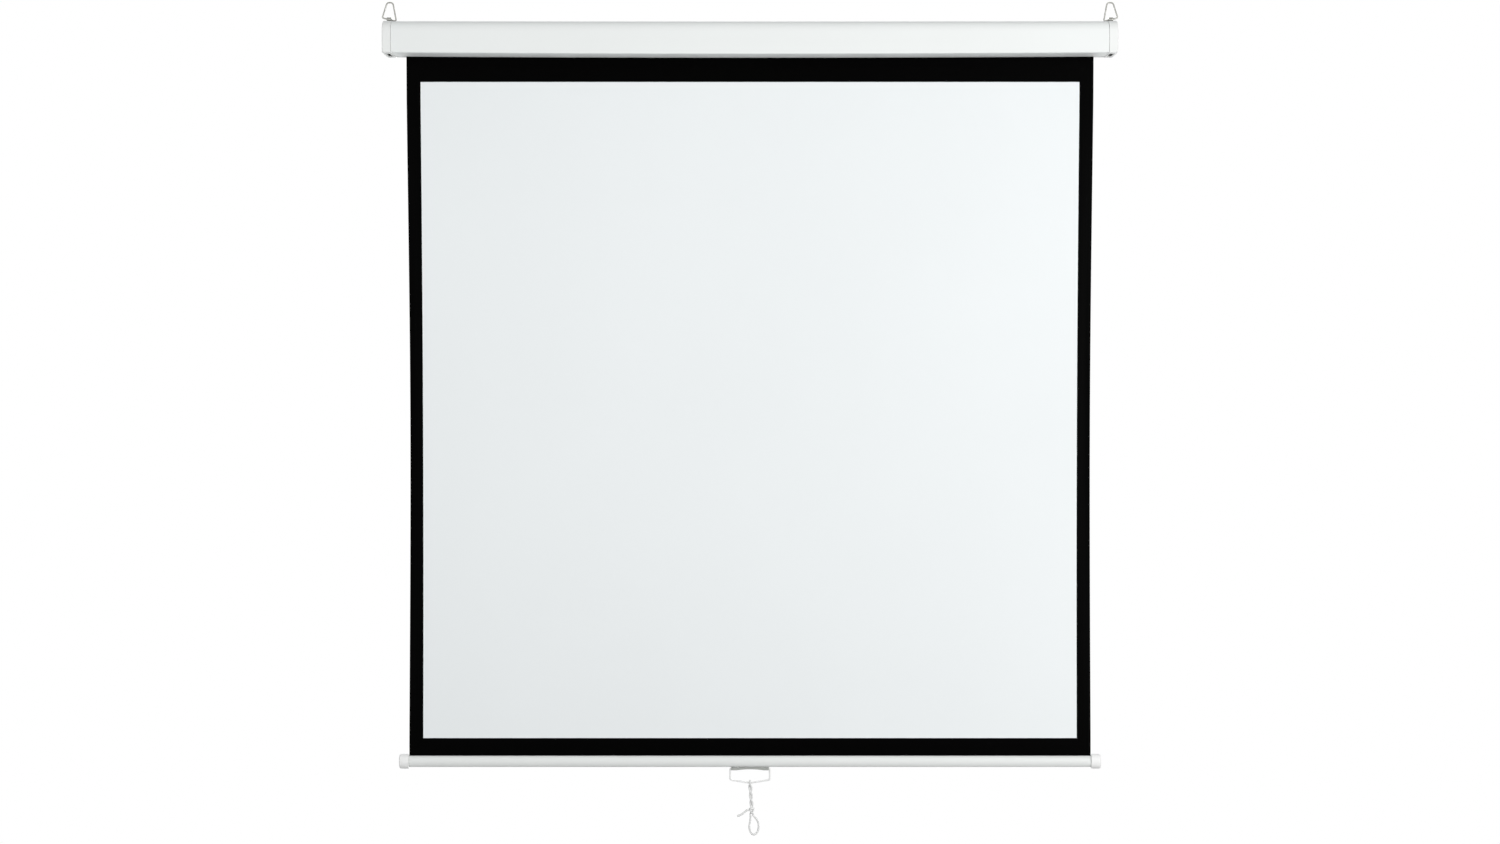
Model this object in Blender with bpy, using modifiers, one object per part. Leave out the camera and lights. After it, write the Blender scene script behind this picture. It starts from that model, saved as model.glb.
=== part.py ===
"""Manual pull-down projector screen: a spring roller in a slim case, hung by two wire rings.

Frame: X to the right, front towards -Y, Z up, in metres. The origin lies midway between the
two hanging rings, at the height where a hook bears on them. The roller's axis is in the plane
y = 0, and the sheet leaves the roller at the back and hangs straight down to a weight bar.
"""

from math import atan2, cos, pi, radians, sin, sqrt, tan

import bmesh
import bpy
from mathutils import Matrix, Vector

# Gap kept between pieces that touch
GAP = 0.0003

# Sheet: a white viewing face on a black backing that shows as a border
VIEW_WIDTH = 1.270
VIEW_HEIGHT = 1.270
SIDE_BORDER = 0.027
TOP_BORDER = 0.0486
BOTTOM_BORDER = 0.0340
FACE_THICKNESS = 0.0003
BACKING_THICKNESS = 0.0004
TURNS_THICKNESS = 0.002

# Case of folded steel sheet, open along a slot under its rear side
CASE_HEIGHT = 0.062
CASE_DEPTH = 0.066
CASE_WALL = 0.0008
CASE_TOP_RADIUS = 0.020
CASE_BOTTOM_RADIUS = 0.003
SLOT_WIDTH = 0.011
SLOT_REAR_LIP = 0.003
CASE_SIDE_ROOM = 0.0213

# End caps
CAP_WIDTH = 0.0167
CAP_PROUD = 0.0008
CAP_END_WALL = 0.0025
CAP_LIP_DEPTH = 0.0115
CAP_LIP_WALL = 0.0018
CAP_ROUNDING = 0.0022
RECESS_WIDTH = 0.0085
RECESS_DEPTH = 0.044

# End brackets: a steel plate in each cap, with a flange and an eye that rises through the cap
PLATE_THICKNESS = 0.002
PLATE_WIDTH = 0.048
PLATE_HEIGHT = 0.044
PLATE_CORNER_RADIUS = 0.006
TAB_WIDTH = 0.013
EYE_RISE = 0.0054
EYE_LENGTH = 0.0084
EYE_INSET = 0.0062
EYE_BORE_CLEARANCE = 0.0014
EYE_WALL = 0.0014
NECK_THICKNESS = 0.002
CAP_SCREW_RADIUS = 0.0015
CAP_SCREW_HEAD_RADIUS = 0.003
CAP_SCREW_HEAD = 0.0016
CAP_SCREW_LENGTH = 0.009
CAP_SCREW_HEIGHT = 0.014

# Hanging rings of round wire
RING_WIRE_RADIUS = 0.0014
RING_HALF_WIDTH = 0.0135
RING_TOP_HALF_WIDTH = 0.0055
RING_HEIGHT = 0.0324
RING_SLOPE = radians(14)
RING_APEX_SHIFT = 0.0015
RING_CORNER_RADIUS = 0.0026
RING_SHOULDER_RADIUS = 0.0056

# Roller
TUBE_RADIUS = 0.019
TUBE_WALL = 0.001
TUBE_END_ROOM = 0.008
FLANGE_THICKNESS = 0.0017
PLUG_DEPTH = 0.025
IDLE_PLUG_DEPTH = 0.020
SUPPORT_THICKNESS = 0.010
SPINDLE_RADIUS = 0.004
SPINDLE_FLAT = 0.00275
SPINDLE_FLAT_LENGTH = 0.006
SPINDLE_OVERHANG = 0.006
IDLE_PIN_LENGTH = 0.045
BUSH_RADIUS = 0.006
BUSH_FLANGE_RADIUS = 0.009
BUSH_FLANGE_THICKNESS = 0.0024

# Counterbalance spring on the spindle
SPRING_WIRE_RADIUS = 0.0011
SPRING_NECK_RADIUS = 0.0062
SPRING_NECK_LENGTH = 0.020
SPRING_LENGTH = 0.214
SPRING_TURNS = 16
SPRING_POINTS_PER_TURN = 10
ANCHOR_RADIUS = 0.0095
ANCHOR_THICKNESS = 0.004
ANCHOR_BOSS = 0.0143
SUPPORT_SPACING = 0.009

# Ratchet that holds the sheet where it is stopped
HUB_RADIUS = 0.010
HUB_THICKNESS = 0.0046
PAWL_PIVOT_RADIUS = 0.015
PAWL_LENGTH = 0.011
PAWL_HALF_WIDTH = 0.0012
PAWL_BOSS_RADIUS = 0.0028
PAWL_THICKNESS = 0.004
PAWL_FREE_ANGLE = radians(218.8)
PAWL_LOCKED_ANGLE = radians(237.6)
PAWL_PIN_RADIUS = 0.001
PAWL_PIN_HEAD_RADIUS = 0.0018
PAWL_PIN_HEAD = 0.0012
PAWL_PIN_DEPTH = 0.008
STEP_CLEARANCE = 0.0005

# Weight bar
BAR_HEIGHT = 0.0225
BAR_DEPTH = 0.017
BAR_WALL = 0.0012
BAR_SLOT_HALF_WIDTH = 0.0012
BAR_CAP_LENGTH = 0.0187
BAR_CAP_WALL = 0.0027
BAR_CAP_END_WALL = 0.0025
BAR_CAP_ROUNDING = 0.003
HEM_ROD_RADIUS = 0.0022
HEM_ROD_DROP = 0.0066

# Handle
BASE_HALF_LENGTH = 0.0365
BASE_WIDTH = 0.009
BASE_HEIGHT = 0.0055
BASE_ARCH_HALF_LENGTH = 0.0265
BASE_ARCH_RISE = 0.0020
HANDLE_WIRE_RADIUS = 0.0017
HANDLE_HALF_WIDTH = 0.0385
HANDLE_STUB = 0.0085
HANDLE_LEG = 0.0220
HANDLE_BOW = 0.0060
HANDLE_CORNER_RADIUS = 0.004
HANDLE_SCREW_SPACING = 0.040
HANDLE_SCREW_RADIUS = 0.0014
HANDLE_SCREW_HEAD_RADIUS = 0.0027
HANDLE_SCREW_HEAD = 0.0018
HANDLE_SCREW_SEAT = 0.0022
HANDLE_SCREW_REACH = 0.0032

# Pull cord: a doubled, twisted strand over the handle, a knot, a finger loop and a short tail
CORD_RADIUS = 0.0018
CORD_SPACING = 0.004
STRAND_GAP = 0.0006
STRAND_TURNS = 1.5
STRAND_POINTS = 14
KNOT_DROP = 0.0533
KNOT_SHIFT = 0.0033
KNOT_RADII = (0.0058, 0.0056, 0.0070)
LOOP_STRAND_OFFSET = 0.0024
LOOP_LEAD = 0.003
TAIL_LEAD = 0.003
LOOP_ROUTE = (
    (-0.0028, 0.0, -0.0200),
    (-0.0048, -0.0010, -0.0330),
    (-0.0014, -0.0012, -0.0440),
    (0.0050, 0.0, -0.0480),
    (0.0112, 0.0012, -0.0425),
    (0.0134, 0.0012, -0.0310),
    (0.0106, 0.0, -0.0195),
)
TAIL_ROUTE = (
    (-0.0120, -0.0004, -0.0022),
    (-0.0195, -0.0012, -0.0080),
    (-0.0282, -0.0018, -0.0115),
)

# Places that follow from the sizes above
SHEET_WIDTH = VIEW_WIDTH + 2 * SIDE_BORDER
RING_PIVOT_Z = RING_WIRE_RADIUS - RING_HEIGHT
CASE_TOP_Z = RING_PIVOT_Z - EYE_RISE
CASE_BOTTOM_Z = CASE_TOP_Z - CASE_HEIGHT
AXIS_Z = CASE_TOP_Z - CASE_HEIGHT / 2
TURNS_RADIUS = TUBE_RADIUS + GAP + TURNS_THICKNESS
BACKING_FRONT_Y = TURNS_RADIUS + GAP
BACKING_Y = BACKING_FRONT_Y + BACKING_THICKNESS / 2
FACE_Y = BACKING_FRONT_Y - GAP - FACE_THICKNESS / 2
VIEW_TOP_Z = CASE_BOTTOM_Z - TOP_BORDER
VIEW_BOTTOM_Z = VIEW_TOP_Z - VIEW_HEIGHT
BAR_TOP_Z = VIEW_BOTTOM_Z - BOTTOM_BORDER
BAR_Z = BAR_TOP_Z - BAR_HEIGHT / 2
BAR_BOTTOM_Z = BAR_TOP_Z - BAR_HEIGHT
HEM_ROD_Z = BAR_TOP_Z - HEM_ROD_DROP
SHEET_END_Z = HEM_ROD_Z + HEM_ROD_RADIUS + GAP
SHELL_HALF = SHEET_WIDTH / 2 + CASE_SIDE_ROOM - GAP
CAP_INNER_X = SHELL_HALF + GAP
CAP_OUTER_X = CAP_INNER_X + CAP_WIDTH
CAP_WALL_X = CAP_OUTER_X - CAP_END_WALL
PLATE_OUTER_X = CAP_WALL_X - GAP
PLATE_INNER_X = PLATE_OUTER_X - PLATE_THICKNESS
EYE_X = PLATE_OUTER_X - EYE_INSET
EYE_BORE_RADIUS = RING_WIRE_RADIUS + EYE_BORE_CLEARANCE
EYE_RADIUS = EYE_BORE_RADIUS + EYE_WALL
CAP_HOLLOW_INSET = CASE_WALL + GAP + CAP_LIP_WALL
FLANGE_TOP_Z = CASE_TOP_Z - CAP_HOLLOW_INSET - GAP
TUBE_HALF = SHEET_WIDTH / 2 + TUBE_END_ROOM
FLANGE_FACE_X = TUBE_HALF + GAP + FLANGE_THICKNESS
PLUG_RADIUS = TUBE_RADIUS - TUBE_WALL - GAP
SHAFT_BORE = SPINDLE_RADIUS + GAP
SPRING_START_X = PLUG_DEPTH - TUBE_HALF - GAP
ANCHOR_X = SPRING_START_X + SPRING_LENGTH
SUPPORT_X = ANCHOR_X + ANCHOR_THICKNESS + SUPPORT_SPACING
SPINDLE_END_X = SUPPORT_X + SUPPORT_THICKNESS + SPINDLE_OVERHANG
BASE_TOP_Z = BAR_BOTTOM_Z - GAP
HANDLE_Z = BASE_TOP_Z - BASE_HEIGHT / 2
GRIP_Z = HANDLE_Z - HANDLE_LEG - HANDLE_BOW
KNOT_Z = GRIP_Z - KNOT_DROP
BAR_END_X = SHEET_WIDTH / 2 + GAP + BAR_CAP_LENGTH - BAR_CAP_END_WALL - GAP

SIDES = (("left", -1), ("right", 1))


def new_collection(name):
    collection = bpy.data.collections.new(name)
    bpy.context.scene.collection.children.link(collection)
    return collection


for leftover in list(bpy.data.objects):
    bpy.data.objects.remove(leftover, do_unlink=True)
PARTS = new_collection("projector_screen")
CUTTERS = new_collection("cutters")


def principled(name, color, roughness, metallic=0.0):
    """A material with one Principled BSDF."""
    made = bpy.data.materials.get(name)
    if made:
        return made
    made = bpy.data.materials.new(name)
    made.use_nodes = True
    made.diffuse_color = (*color, 1.0)
    shader = made.node_tree.nodes["Principled BSDF"]
    shader.inputs["Base Color"].default_value = (*color, 1.0)
    shader.inputs["Roughness"].default_value = roughness
    shader.inputs["Metallic"].default_value = metallic
    return made


def white_steel():
    return principled("white_painted_steel", (0.84, 0.86, 0.86), 0.38)


def white_plastic():
    return principled("white_plastic", (0.86, 0.86, 0.83), 0.45)


def zinc():
    return principled("zinc_plated_steel", (0.52, 0.52, 0.50), 0.35, 1.0)


def plain_steel():
    return principled("plain_steel", (0.60, 0.60, 0.61), 0.30, 1.0)


def nylon():
    return principled("natural_nylon", (0.78, 0.76, 0.70), 0.50)


def black_plastic():
    return principled("black_plastic", (0.03, 0.03, 0.03), 0.50)


def matt_white():
    return principled("matt_white_screen", (0.88, 0.90, 0.90), 0.90)


def matt_black():
    return principled("matt_black_screen", (0.008, 0.008, 0.008), 0.90)


def white_cord():
    return principled("white_braided_cord", (0.80, 0.80, 0.78), 0.85)


def axis_empty(name, location, parent=None):
    """An empty on a joint's axis, which carries the pieces that move on it."""
    made = bpy.data.objects.new(name, None)
    made.empty_display_size = 0.02
    PARTS.objects.link(made)
    made.location = location
    bpy.context.view_layer.update()
    if parent:
        carry(made, parent)
    return made


def carry(piece, parent):
    """Parents a piece and keeps its place."""
    bpy.context.view_layer.update()
    piece.parent = parent
    piece.matrix_parent_inverse = parent.matrix_world.inverted()


def add_piece(name, data, material, parent=None, matrix=None):
    """Links a mesh or a curve as a named piece with its material."""
    data.materials.append(material)
    made = bpy.data.objects.new(name, data)
    PARTS.objects.link(made)
    if matrix:
        made.matrix_world = matrix
    if parent:
        carry(made, parent)
    return made


def to_mesh(name, shape, smooth=True):
    """Turns a bmesh into a mesh, round faces smooth and edges over 35 degrees sharp."""
    bmesh.ops.recalc_face_normals(shape, faces=shape.faces)
    mesh = bpy.data.meshes.new(name)
    shape.to_mesh(mesh)
    shape.free()
    if smooth:
        mesh.shade_smooth()
        mesh.set_sharp_from_angle(angle=radians(35))
    return mesh


def cut(target, name, shape, operation="DIFFERENCE"):
    """Cuts a shape from a piece, or joins it on, with a helper that is not a piece itself."""
    helper = bpy.data.objects.new(name, to_mesh(name, shape, smooth=False))
    CUTTERS.objects.link(helper)
    helper.hide_render = True
    helper.display_type = "WIRE"
    boolean = target.modifiers.new(name, "BOOLEAN")
    boolean.operation = operation
    boolean.solver = "EXACT"
    boolean.object = helper


def box(low, high):
    """A box between two corners, given in any order."""
    low, high = Vector(low), Vector(high)
    size = high - low
    shape = bmesh.new()
    place = Matrix.Translation((low + high) / 2)
    stretch = Matrix.Diagonal((abs(size.x), abs(size.y), abs(size.z), 1))
    bmesh.ops.create_cube(shape, size=1, matrix=place @ stretch)
    return shape


def rod(start, end, radius, segments=24):
    """A round rod between two points."""
    start, end = Vector(start), Vector(end)
    along = end - start
    turn = along.to_track_quat("Z", "Y").to_matrix().to_4x4()
    shape = bmesh.new()
    bmesh.ops.create_cone(
        shape,
        cap_ends=True,
        segments=segments,
        radius1=radius,
        radius2=radius,
        depth=along.length,
        matrix=Matrix.Translation((start + end) / 2) @ turn,
    )
    return shape


def prism(outline, x_start, x_end):
    """A closed prism along X over an outline of (y, z) points."""
    shape = bmesh.new()
    base = shape.faces.new([shape.verts.new((x_start, y, z)) for y, z in outline])
    grown = bmesh.ops.extrude_face_region(shape, geom=[base])["geom"]
    moved = [vert for vert in grown if isinstance(vert, bmesh.types.BMVert)]
    bmesh.ops.translate(shape, verts=moved, vec=(x_end - x_start, 0, 0))
    return shape


def round_end(shape, x_end, width, segments=3):
    """Rounds the edges of a prism's end face at x_end."""
    edges = [
        edge
        for edge in shape.edges
        if all(abs(vert.co.x - x_end) < 1e-6 for vert in edge.verts)
    ]
    bmesh.ops.bevel(
        shape,
        geom=edges,
        offset=width,
        segments=segments,
        profile=0.5,
        affect="EDGES",
        clamp_overlap=True,
    )


def arc(center, radius, start, end, steps):
    """Points of an arc in a plane, from one angle to another."""
    return [
        (
            center[0] + radius * cos(start + (end - start) * i / steps),
            center[1] + radius * sin(start + (end - start) * i / steps),
        )
        for i in range(steps + 1)
    ]


def circle(center, radius, points=24):
    return arc(center, radius, 0, 2 * pi, points)[:-1]


def filleted(corners, steps=4):
    """A closed outline through (point, radius) corners, each rounded by an arc."""
    outline = []
    for i, (corner, radius) in enumerate(corners):
        corner = Vector(corner)
        before = (Vector(corners[i - 1][0]) - corner).normalized()
        after = (Vector(corners[(i + 1) % len(corners)][0]) - corner).normalized()
        if not radius:
            outline.append(tuple(corner))
            continue
        half = before.angle(after) / 2
        middle = corner + (before + after).normalized() * radius / sin(half)
        first = corner + before * radius / tan(half) - middle
        last = corner + after * radius / tan(half) - middle
        start = atan2(first.y, first.x)
        sweep = (atan2(last.y, last.x) - start + pi) % (2 * pi) - pi
        outline += arc(middle, radius, start, start + sweep, steps)
    return outline


def case_outline(offset, slot=False):
    """The case's section as (y, z) points, offset outwards, open at the slot if asked."""
    half_depth = CASE_DEPTH / 2 + offset
    half_height = CASE_HEIGHT / 2 + offset
    top = CASE_TOP_RADIUS + offset
    bottom = max(CASE_BOTTOM_RADIUS + offset, GAP)
    low = AXIS_Z - half_height
    high = AXIS_Z + half_height
    outline = arc((bottom - half_depth, low + bottom), bottom, 1.5 * pi, pi, 4)
    outline += arc((top - half_depth, high - top), top, pi, pi / 2, 8)
    outline += arc((half_depth - top, high - top), top, pi / 2, 0, 8)
    outline += arc((half_depth - bottom, low + bottom), bottom, 0, -pi / 2, 4)
    if slot:
        slot_rear = CASE_DEPTH / 2 - SLOT_REAR_LIP
        outline = [(slot_rear - SLOT_WIDTH, low)] + outline + [(slot_rear, low)]
    return outline


def bar_outline(offset, points=32, slot=0.0):
    """The weight bar's oval section as (y, z) points, open at the top if a slot is given."""
    half_depth = BAR_DEPTH / 2 + offset
    half_height = BAR_HEIGHT / 2 + offset
    if not slot:
        angles = [2 * pi * i / points for i in range(points)]
    else:
        edge = slot / half_depth
        angles = [edge + (2 * pi - 2 * edge) * i / points for i in range(points + 1)]
    return [(BACKING_Y + half_depth * sin(a), BAR_Z + half_height * cos(a)) for a in angles]


def turned(name, profile, place, material, parent, segments=32, closed=True):
    """A turned piece about a line along X: profile points are (radius, x), in order."""
    mesh = bpy.data.meshes.new(name)
    verts = [(radius, 0.0, along) for radius, along in profile]
    edges = [(i, i + 1) for i in range(len(verts) - 1)]
    if closed:
        edges.append((len(verts) - 1, 0))
    mesh.from_pydata(verts, edges, [])
    matrix = Matrix.Translation(place) @ Matrix.Rotation(pi / 2, 4, "Y")
    piece = add_piece(name, mesh, material, parent, matrix)
    screw = piece.modifiers.new("turn", "SCREW")
    screw.axis = "Z"
    screw.angle = 2 * pi
    screw.steps = segments
    screw.render_steps = segments
    screw.use_merge_vertices = True
    screw.merge_threshold = 0.00001
    screw.use_smooth_shade = False
    return piece


def sleeve(name, outer, inner, x_start, x_end, material, parent, segments=32):
    """A plain tube on the roller's axis."""
    profile = [(outer, x_end), (outer, x_start), (inner, x_start), (inner, x_end)]
    place = (0, 0, AXIS_Z)
    return turned(name, profile, place, material, parent, segments)


def flat_curve(name, outlines, thickness, matrix, material, parent):
    """A flat piece as a filled 2D curve: the first outline, less the holes after it."""
    curve = bpy.data.curves.new(name, "CURVE")
    curve.dimensions = "2D"
    curve.fill_mode = "BOTH"
    curve.extrude = thickness / 2
    for outline in outlines:
        spline = curve.splines.new("POLY")
        spline.points.add(len(outline) - 1)
        spline.use_cyclic_u = True
        for point, (u, v) in zip(spline.points, outline):
            point.co = (u, v, 0, 1)
    return add_piece(name, curve, material, parent, matrix)


def across_x(x, y=0.0, z=0.0):
    """The placing of a flat curve whose plane is square to X: its axes become Y, Z and X."""
    turn = Matrix(((0, 0, 1), (1, 0, 0), (0, 1, 0))).to_4x4()
    return Matrix.Translation((x, y, z)) @ turn


def wire(name, points, radius, material, parent, closed=False, sides=2):
    """A round wire or cord through points."""
    curve = bpy.data.curves.new(name, "CURVE")
    curve.dimensions = "3D"
    curve.bevel_depth = radius
    curve.bevel_resolution = sides
    curve.use_fill_caps = True
    spline = curve.splines.new("POLY")
    spline.points.add(len(points) - 1)
    spline.use_cyclic_u = closed
    for target, point in zip(spline.points, points):
        target.co = (*point, 1)
    return add_piece(name, curve, material, parent)


def smooth_route(route, spacing):
    """Points about one spacing apart on a smooth curve through a route's own points."""
    route = [Vector(point) for point in route]
    spans = [(b - a).length for a, b in zip(route, route[1:])]
    slopes = [(route[1] - route[0]) / spans[0]]
    for i in range(1, len(route) - 1):
        slopes.append((route[i + 1] - route[i - 1]) / (spans[i - 1] + spans[i]))
    slopes.append((route[-1] - route[-2]) / spans[-1])
    points = []
    for i, span in enumerate(spans):
        count = max(1, round(span / spacing))
        for step in range(count):
            t = step / count
            points.append(
                route[i] * (2 * t**3 - 3 * t**2 + 1)
                + slopes[i] * span * (t**3 - 2 * t**2 + t)
                + route[i + 1] * (3 * t**2 - 2 * t**3)
                + slopes[i + 1] * span * (t**3 - t**2)
            )
    return points + [route[-1]]


def make_case_shell():
    section = case_outline(0, slot=True) + case_outline(-CASE_WALL, slot=True)[::-1]
    shape = prism(section, -SHELL_HALF, SHELL_HALF)
    add_piece("case_shell", to_mesh("case_shell", shape), white_steel())


def make_end_cap(name, side):
    """A cap with a lip that plugs into the shell, a slot for the eye and an open underside."""
    outer = prism(case_outline(CAP_PROUD), side * CAP_INNER_X, side * CAP_OUTER_X)
    round_end(outer, side * CAP_OUTER_X, CAP_ROUNDING)
    piece = add_piece(f"end_cap_{name}", to_mesh("cap", outer), white_plastic())
    lip_x = CAP_INNER_X - CAP_LIP_DEPTH
    lip = prism(case_outline(-CASE_WALL - GAP), side * lip_x, side * (CAP_INNER_X + GAP))
    cut(piece, f"lip_{name}", lip, "UNION")
    hollow = prism(case_outline(-CAP_HOLLOW_INSET), side * (lip_x - GAP), side * CAP_WALL_X)
    cut(piece, f"hollow_{name}", hollow)
    half_eye = EYE_LENGTH / 2 + GAP
    half_neck = NECK_THICKNESS / 2 + GAP
    slot = box(
        (side * (EYE_X - half_eye), -half_neck, AXIS_Z),
        (side * (EYE_X + half_eye), half_neck, RING_PIVOT_Z),
    )
    cut(piece, f"eye_slot_{name}", slot)
    recess_x = PLATE_INNER_X - GAP
    recess = box(
        (side * (recess_x - RECESS_WIDTH), -RECESS_DEPTH / 2, CASE_BOTTOM_Z - CAP_WIDTH),
        (side * recess_x, RECESS_DEPTH / 2, AXIS_Z),
    )
    cut(piece, f"recess_{name}", recess)
    for z in (AXIS_Z - CAP_SCREW_HEIGHT, AXIS_Z + CAP_SCREW_HEIGHT):
        start = (side * (CAP_WALL_X - GAP), 0, z)
        end = (side * (CAP_OUTER_X + GAP), 0, z)
        cut(piece, f"cap_hole_{name}", rod(start, end, CAP_SCREW_RADIUS + GAP))


def make_end_bracket(name, side):
    """A plate that carries the roller's shaft, with a flange and a rolled eye for the ring."""
    half_width, half_height = PLATE_WIDTH / 2, PLATE_HEIGHT / 2
    corners = [
        ((-half_width, AXIS_Z - half_height), PLATE_CORNER_RADIUS),
        ((half_width, AXIS_Z - half_height), PLATE_CORNER_RADIUS),
        ((half_width, AXIS_Z + half_height), PLATE_CORNER_RADIUS),
        ((TAB_WIDTH / 2, AXIS_Z + half_height), 0),
        ((TAB_WIDTH / 2, FLANGE_TOP_Z), 0),
        ((-TAB_WIDTH / 2, FLANGE_TOP_Z), 0),
        ((-TAB_WIDTH / 2, AXIS_Z + half_height), 0),
        ((-half_width, AXIS_Z + half_height), PLATE_CORNER_RADIUS),
    ]
    plate = prism(filleted(corners), side * PLATE_INNER_X, side * PLATE_OUTER_X)
    mesh = to_mesh("bracket", plate, smooth=False)
    piece = add_piece(f"end_bracket_{name}", mesh, zinc())
    eye_inner, eye_outer = EYE_X - EYE_LENGTH / 2, EYE_X + EYE_LENGTH / 2
    flange = box(
        (side * eye_inner, -TAB_WIDTH / 2, FLANGE_TOP_Z - PLATE_THICKNESS),
        (side * (PLATE_OUTER_X - GAP), TAB_WIDTH / 2, FLANGE_TOP_Z),
    )
    cut(piece, f"flange_{name}", flange, "UNION")
    neck = box(
        (side * eye_inner, -NECK_THICKNESS / 2, FLANGE_TOP_Z - PLATE_THICKNESS / 2),
        (side * eye_outer, NECK_THICKNESS / 2, RING_PIVOT_Z - EYE_BORE_RADIUS - EYE_WALL / 2),
    )
    cut(piece, f"neck_{name}", neck, "UNION")
    pivot_inner = (side * eye_inner, 0, RING_PIVOT_Z)
    pivot_outer = (side * eye_outer, 0, RING_PIVOT_Z)
    cut(piece, f"eye_{name}", rod(pivot_inner, pivot_outer, EYE_RADIUS, 28), "UNION")
    through = (side * (eye_inner - GAP), 0, RING_PIVOT_Z)
    beyond = (side * (eye_outer + GAP), 0, RING_PIVOT_Z)
    cut(piece, f"eye_bore_{name}", rod(through, beyond, EYE_BORE_RADIUS, 28))
    low, high = side * (PLATE_INNER_X - GAP), side * (PLATE_OUTER_X + GAP)
    for z in (AXIS_Z - CAP_SCREW_HEIGHT, AXIS_Z + CAP_SCREW_HEIGHT):
        hole = rod((low, 0, z), (high, 0, z), CAP_SCREW_RADIUS + GAP, 16)
        cut(piece, f"plate_hole_{name}", hole)
    if side < 0:
        cut(piece, "spindle_hole", prism(spindle_hole(), low, high))
    else:
        cut(piece, "bush_hole", rod((low, 0, AXIS_Z), (high, 0, AXIS_Z), BUSH_RADIUS + GAP, 32))


def spindle_hole():
    """The hole with two flats that keeps the spindle from turning."""
    radius = SPINDLE_RADIUS + GAP
    flat = SPINDLE_FLAT + GAP
    reach = atan2(flat, sqrt(radius**2 - flat**2))
    center = (0, AXIS_Z)
    return arc(center, radius, -reach, reach, 6) + arc(center, radius, pi - reach, pi + reach, 6)


def make_cap_screws(name, side):
    for level, z in (("lower", AXIS_Z - CAP_SCREW_HEIGHT), ("upper", AXIS_Z + CAP_SCREW_HEIGHT)):
        head = CAP_OUTER_X + GAP
        profile = [
            (0, side * (head + CAP_SCREW_HEAD)),
            (CAP_SCREW_HEAD_RADIUS * 0.75, side * (head + CAP_SCREW_HEAD)),
            (CAP_SCREW_HEAD_RADIUS, side * (head + CAP_SCREW_HEAD * 0.4)),
            (CAP_SCREW_HEAD_RADIUS, side * head),
            (CAP_SCREW_RADIUS, side * head),
            (CAP_SCREW_RADIUS, side * (head - CAP_SCREW_LENGTH)),
            (0, side * (head - CAP_SCREW_LENGTH)),
        ]
        if side < 0:
            profile.reverse()
        turned(f"cap_screw_{name}_{level}", profile, (0, 0, z), zinc(), None, 16, closed=False)


def make_ring(name, side):
    """A rounded triangle of wire, its sloping base through the eye."""
    pivot = Vector((side * EYE_X, 0, RING_PIVOT_Z))
    axis = axis_empty(f"ring_{name}_axis", pivot)
    rise = RING_HALF_WIDTH * tan(RING_SLOPE)
    corners = [
        ((-RING_HALF_WIDTH, -rise), RING_CORNER_RADIUS),
        ((RING_HALF_WIDTH, rise), RING_CORNER_RADIUS),
        ((RING_TOP_HALF_WIDTH - RING_APEX_SHIFT, RING_HEIGHT), RING_SHOULDER_RADIUS),
        ((-RING_TOP_HALF_WIDTH - RING_APEX_SHIFT, RING_HEIGHT), RING_SHOULDER_RADIUS),
    ]
    outline = filleted(corners, steps=5)
    points = [(pivot.x + side * u, 0, pivot.z + v) for u, v in outline]
    wire(f"hanging_ring_{name}", points, RING_WIRE_RADIUS, zinc(), axis, closed=True)


def make_spindle():
    """The fixed shaft that the spring end of the roller turns on."""
    start = -PLATE_OUTER_X
    shape = rod((start, 0, AXIS_Z), (SPINDLE_END_X, 0, AXIS_Z), SPINDLE_RADIUS)
    piece = add_piece("spindle", to_mesh("spindle", shape), plain_steel())
    for level in (-1, 1):
        flat = box(
            (start - 0.001, -0.01, AXIS_Z + level * SPINDLE_FLAT),
            (start + SPINDLE_FLAT_LENGTH, 0.01, AXIS_Z + level * 0.01),
        )
        cut(piece, f"spindle_flat_{level}", flat)


def make_ratchet_hub():
    """A disc fixed on the spindle, with two steps that a pawl drops against."""
    face = -FLANGE_FACE_X - GAP
    hub = sleeve(
        "ratchet_hub", HUB_RADIUS, SHAFT_BORE, face - HUB_THICKNESS, face, plain_steel(), None
    )
    along = Vector((cos(PAWL_LOCKED_ANGLE), sin(PAWL_LOCKED_ANGLE)))
    tip = Vector((0, PAWL_PIVOT_RADIUS)) + along * PAWL_LENGTH
    outward = Vector((along.y, -along.x))
    if outward.dot(tip) < 0:
        outward = -outward
    reach = HUB_RADIUS * 1.2
    end = tip + along * (PAWL_HALF_WIDTH + STEP_CLEARANCE)
    floor = -(PAWL_HALF_WIDTH + STEP_CLEARANCE)
    corners = [
        end + outward * floor,
        end + outward * reach,
        end - along * 2 * reach + outward * reach,
        end - along * 2 * reach + outward * floor,
    ]
    for turn in (0, pi):
        step = [
            (
                corner.x * cos(turn) - corner.y * sin(turn),
                AXIS_Z + corner.x * sin(turn) + corner.y * cos(turn),
            )
            for corner in corners
        ]
        cut(hub, "ratchet_step", prism(step, face - HUB_THICKNESS - GAP, face + GAP / 2))


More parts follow.
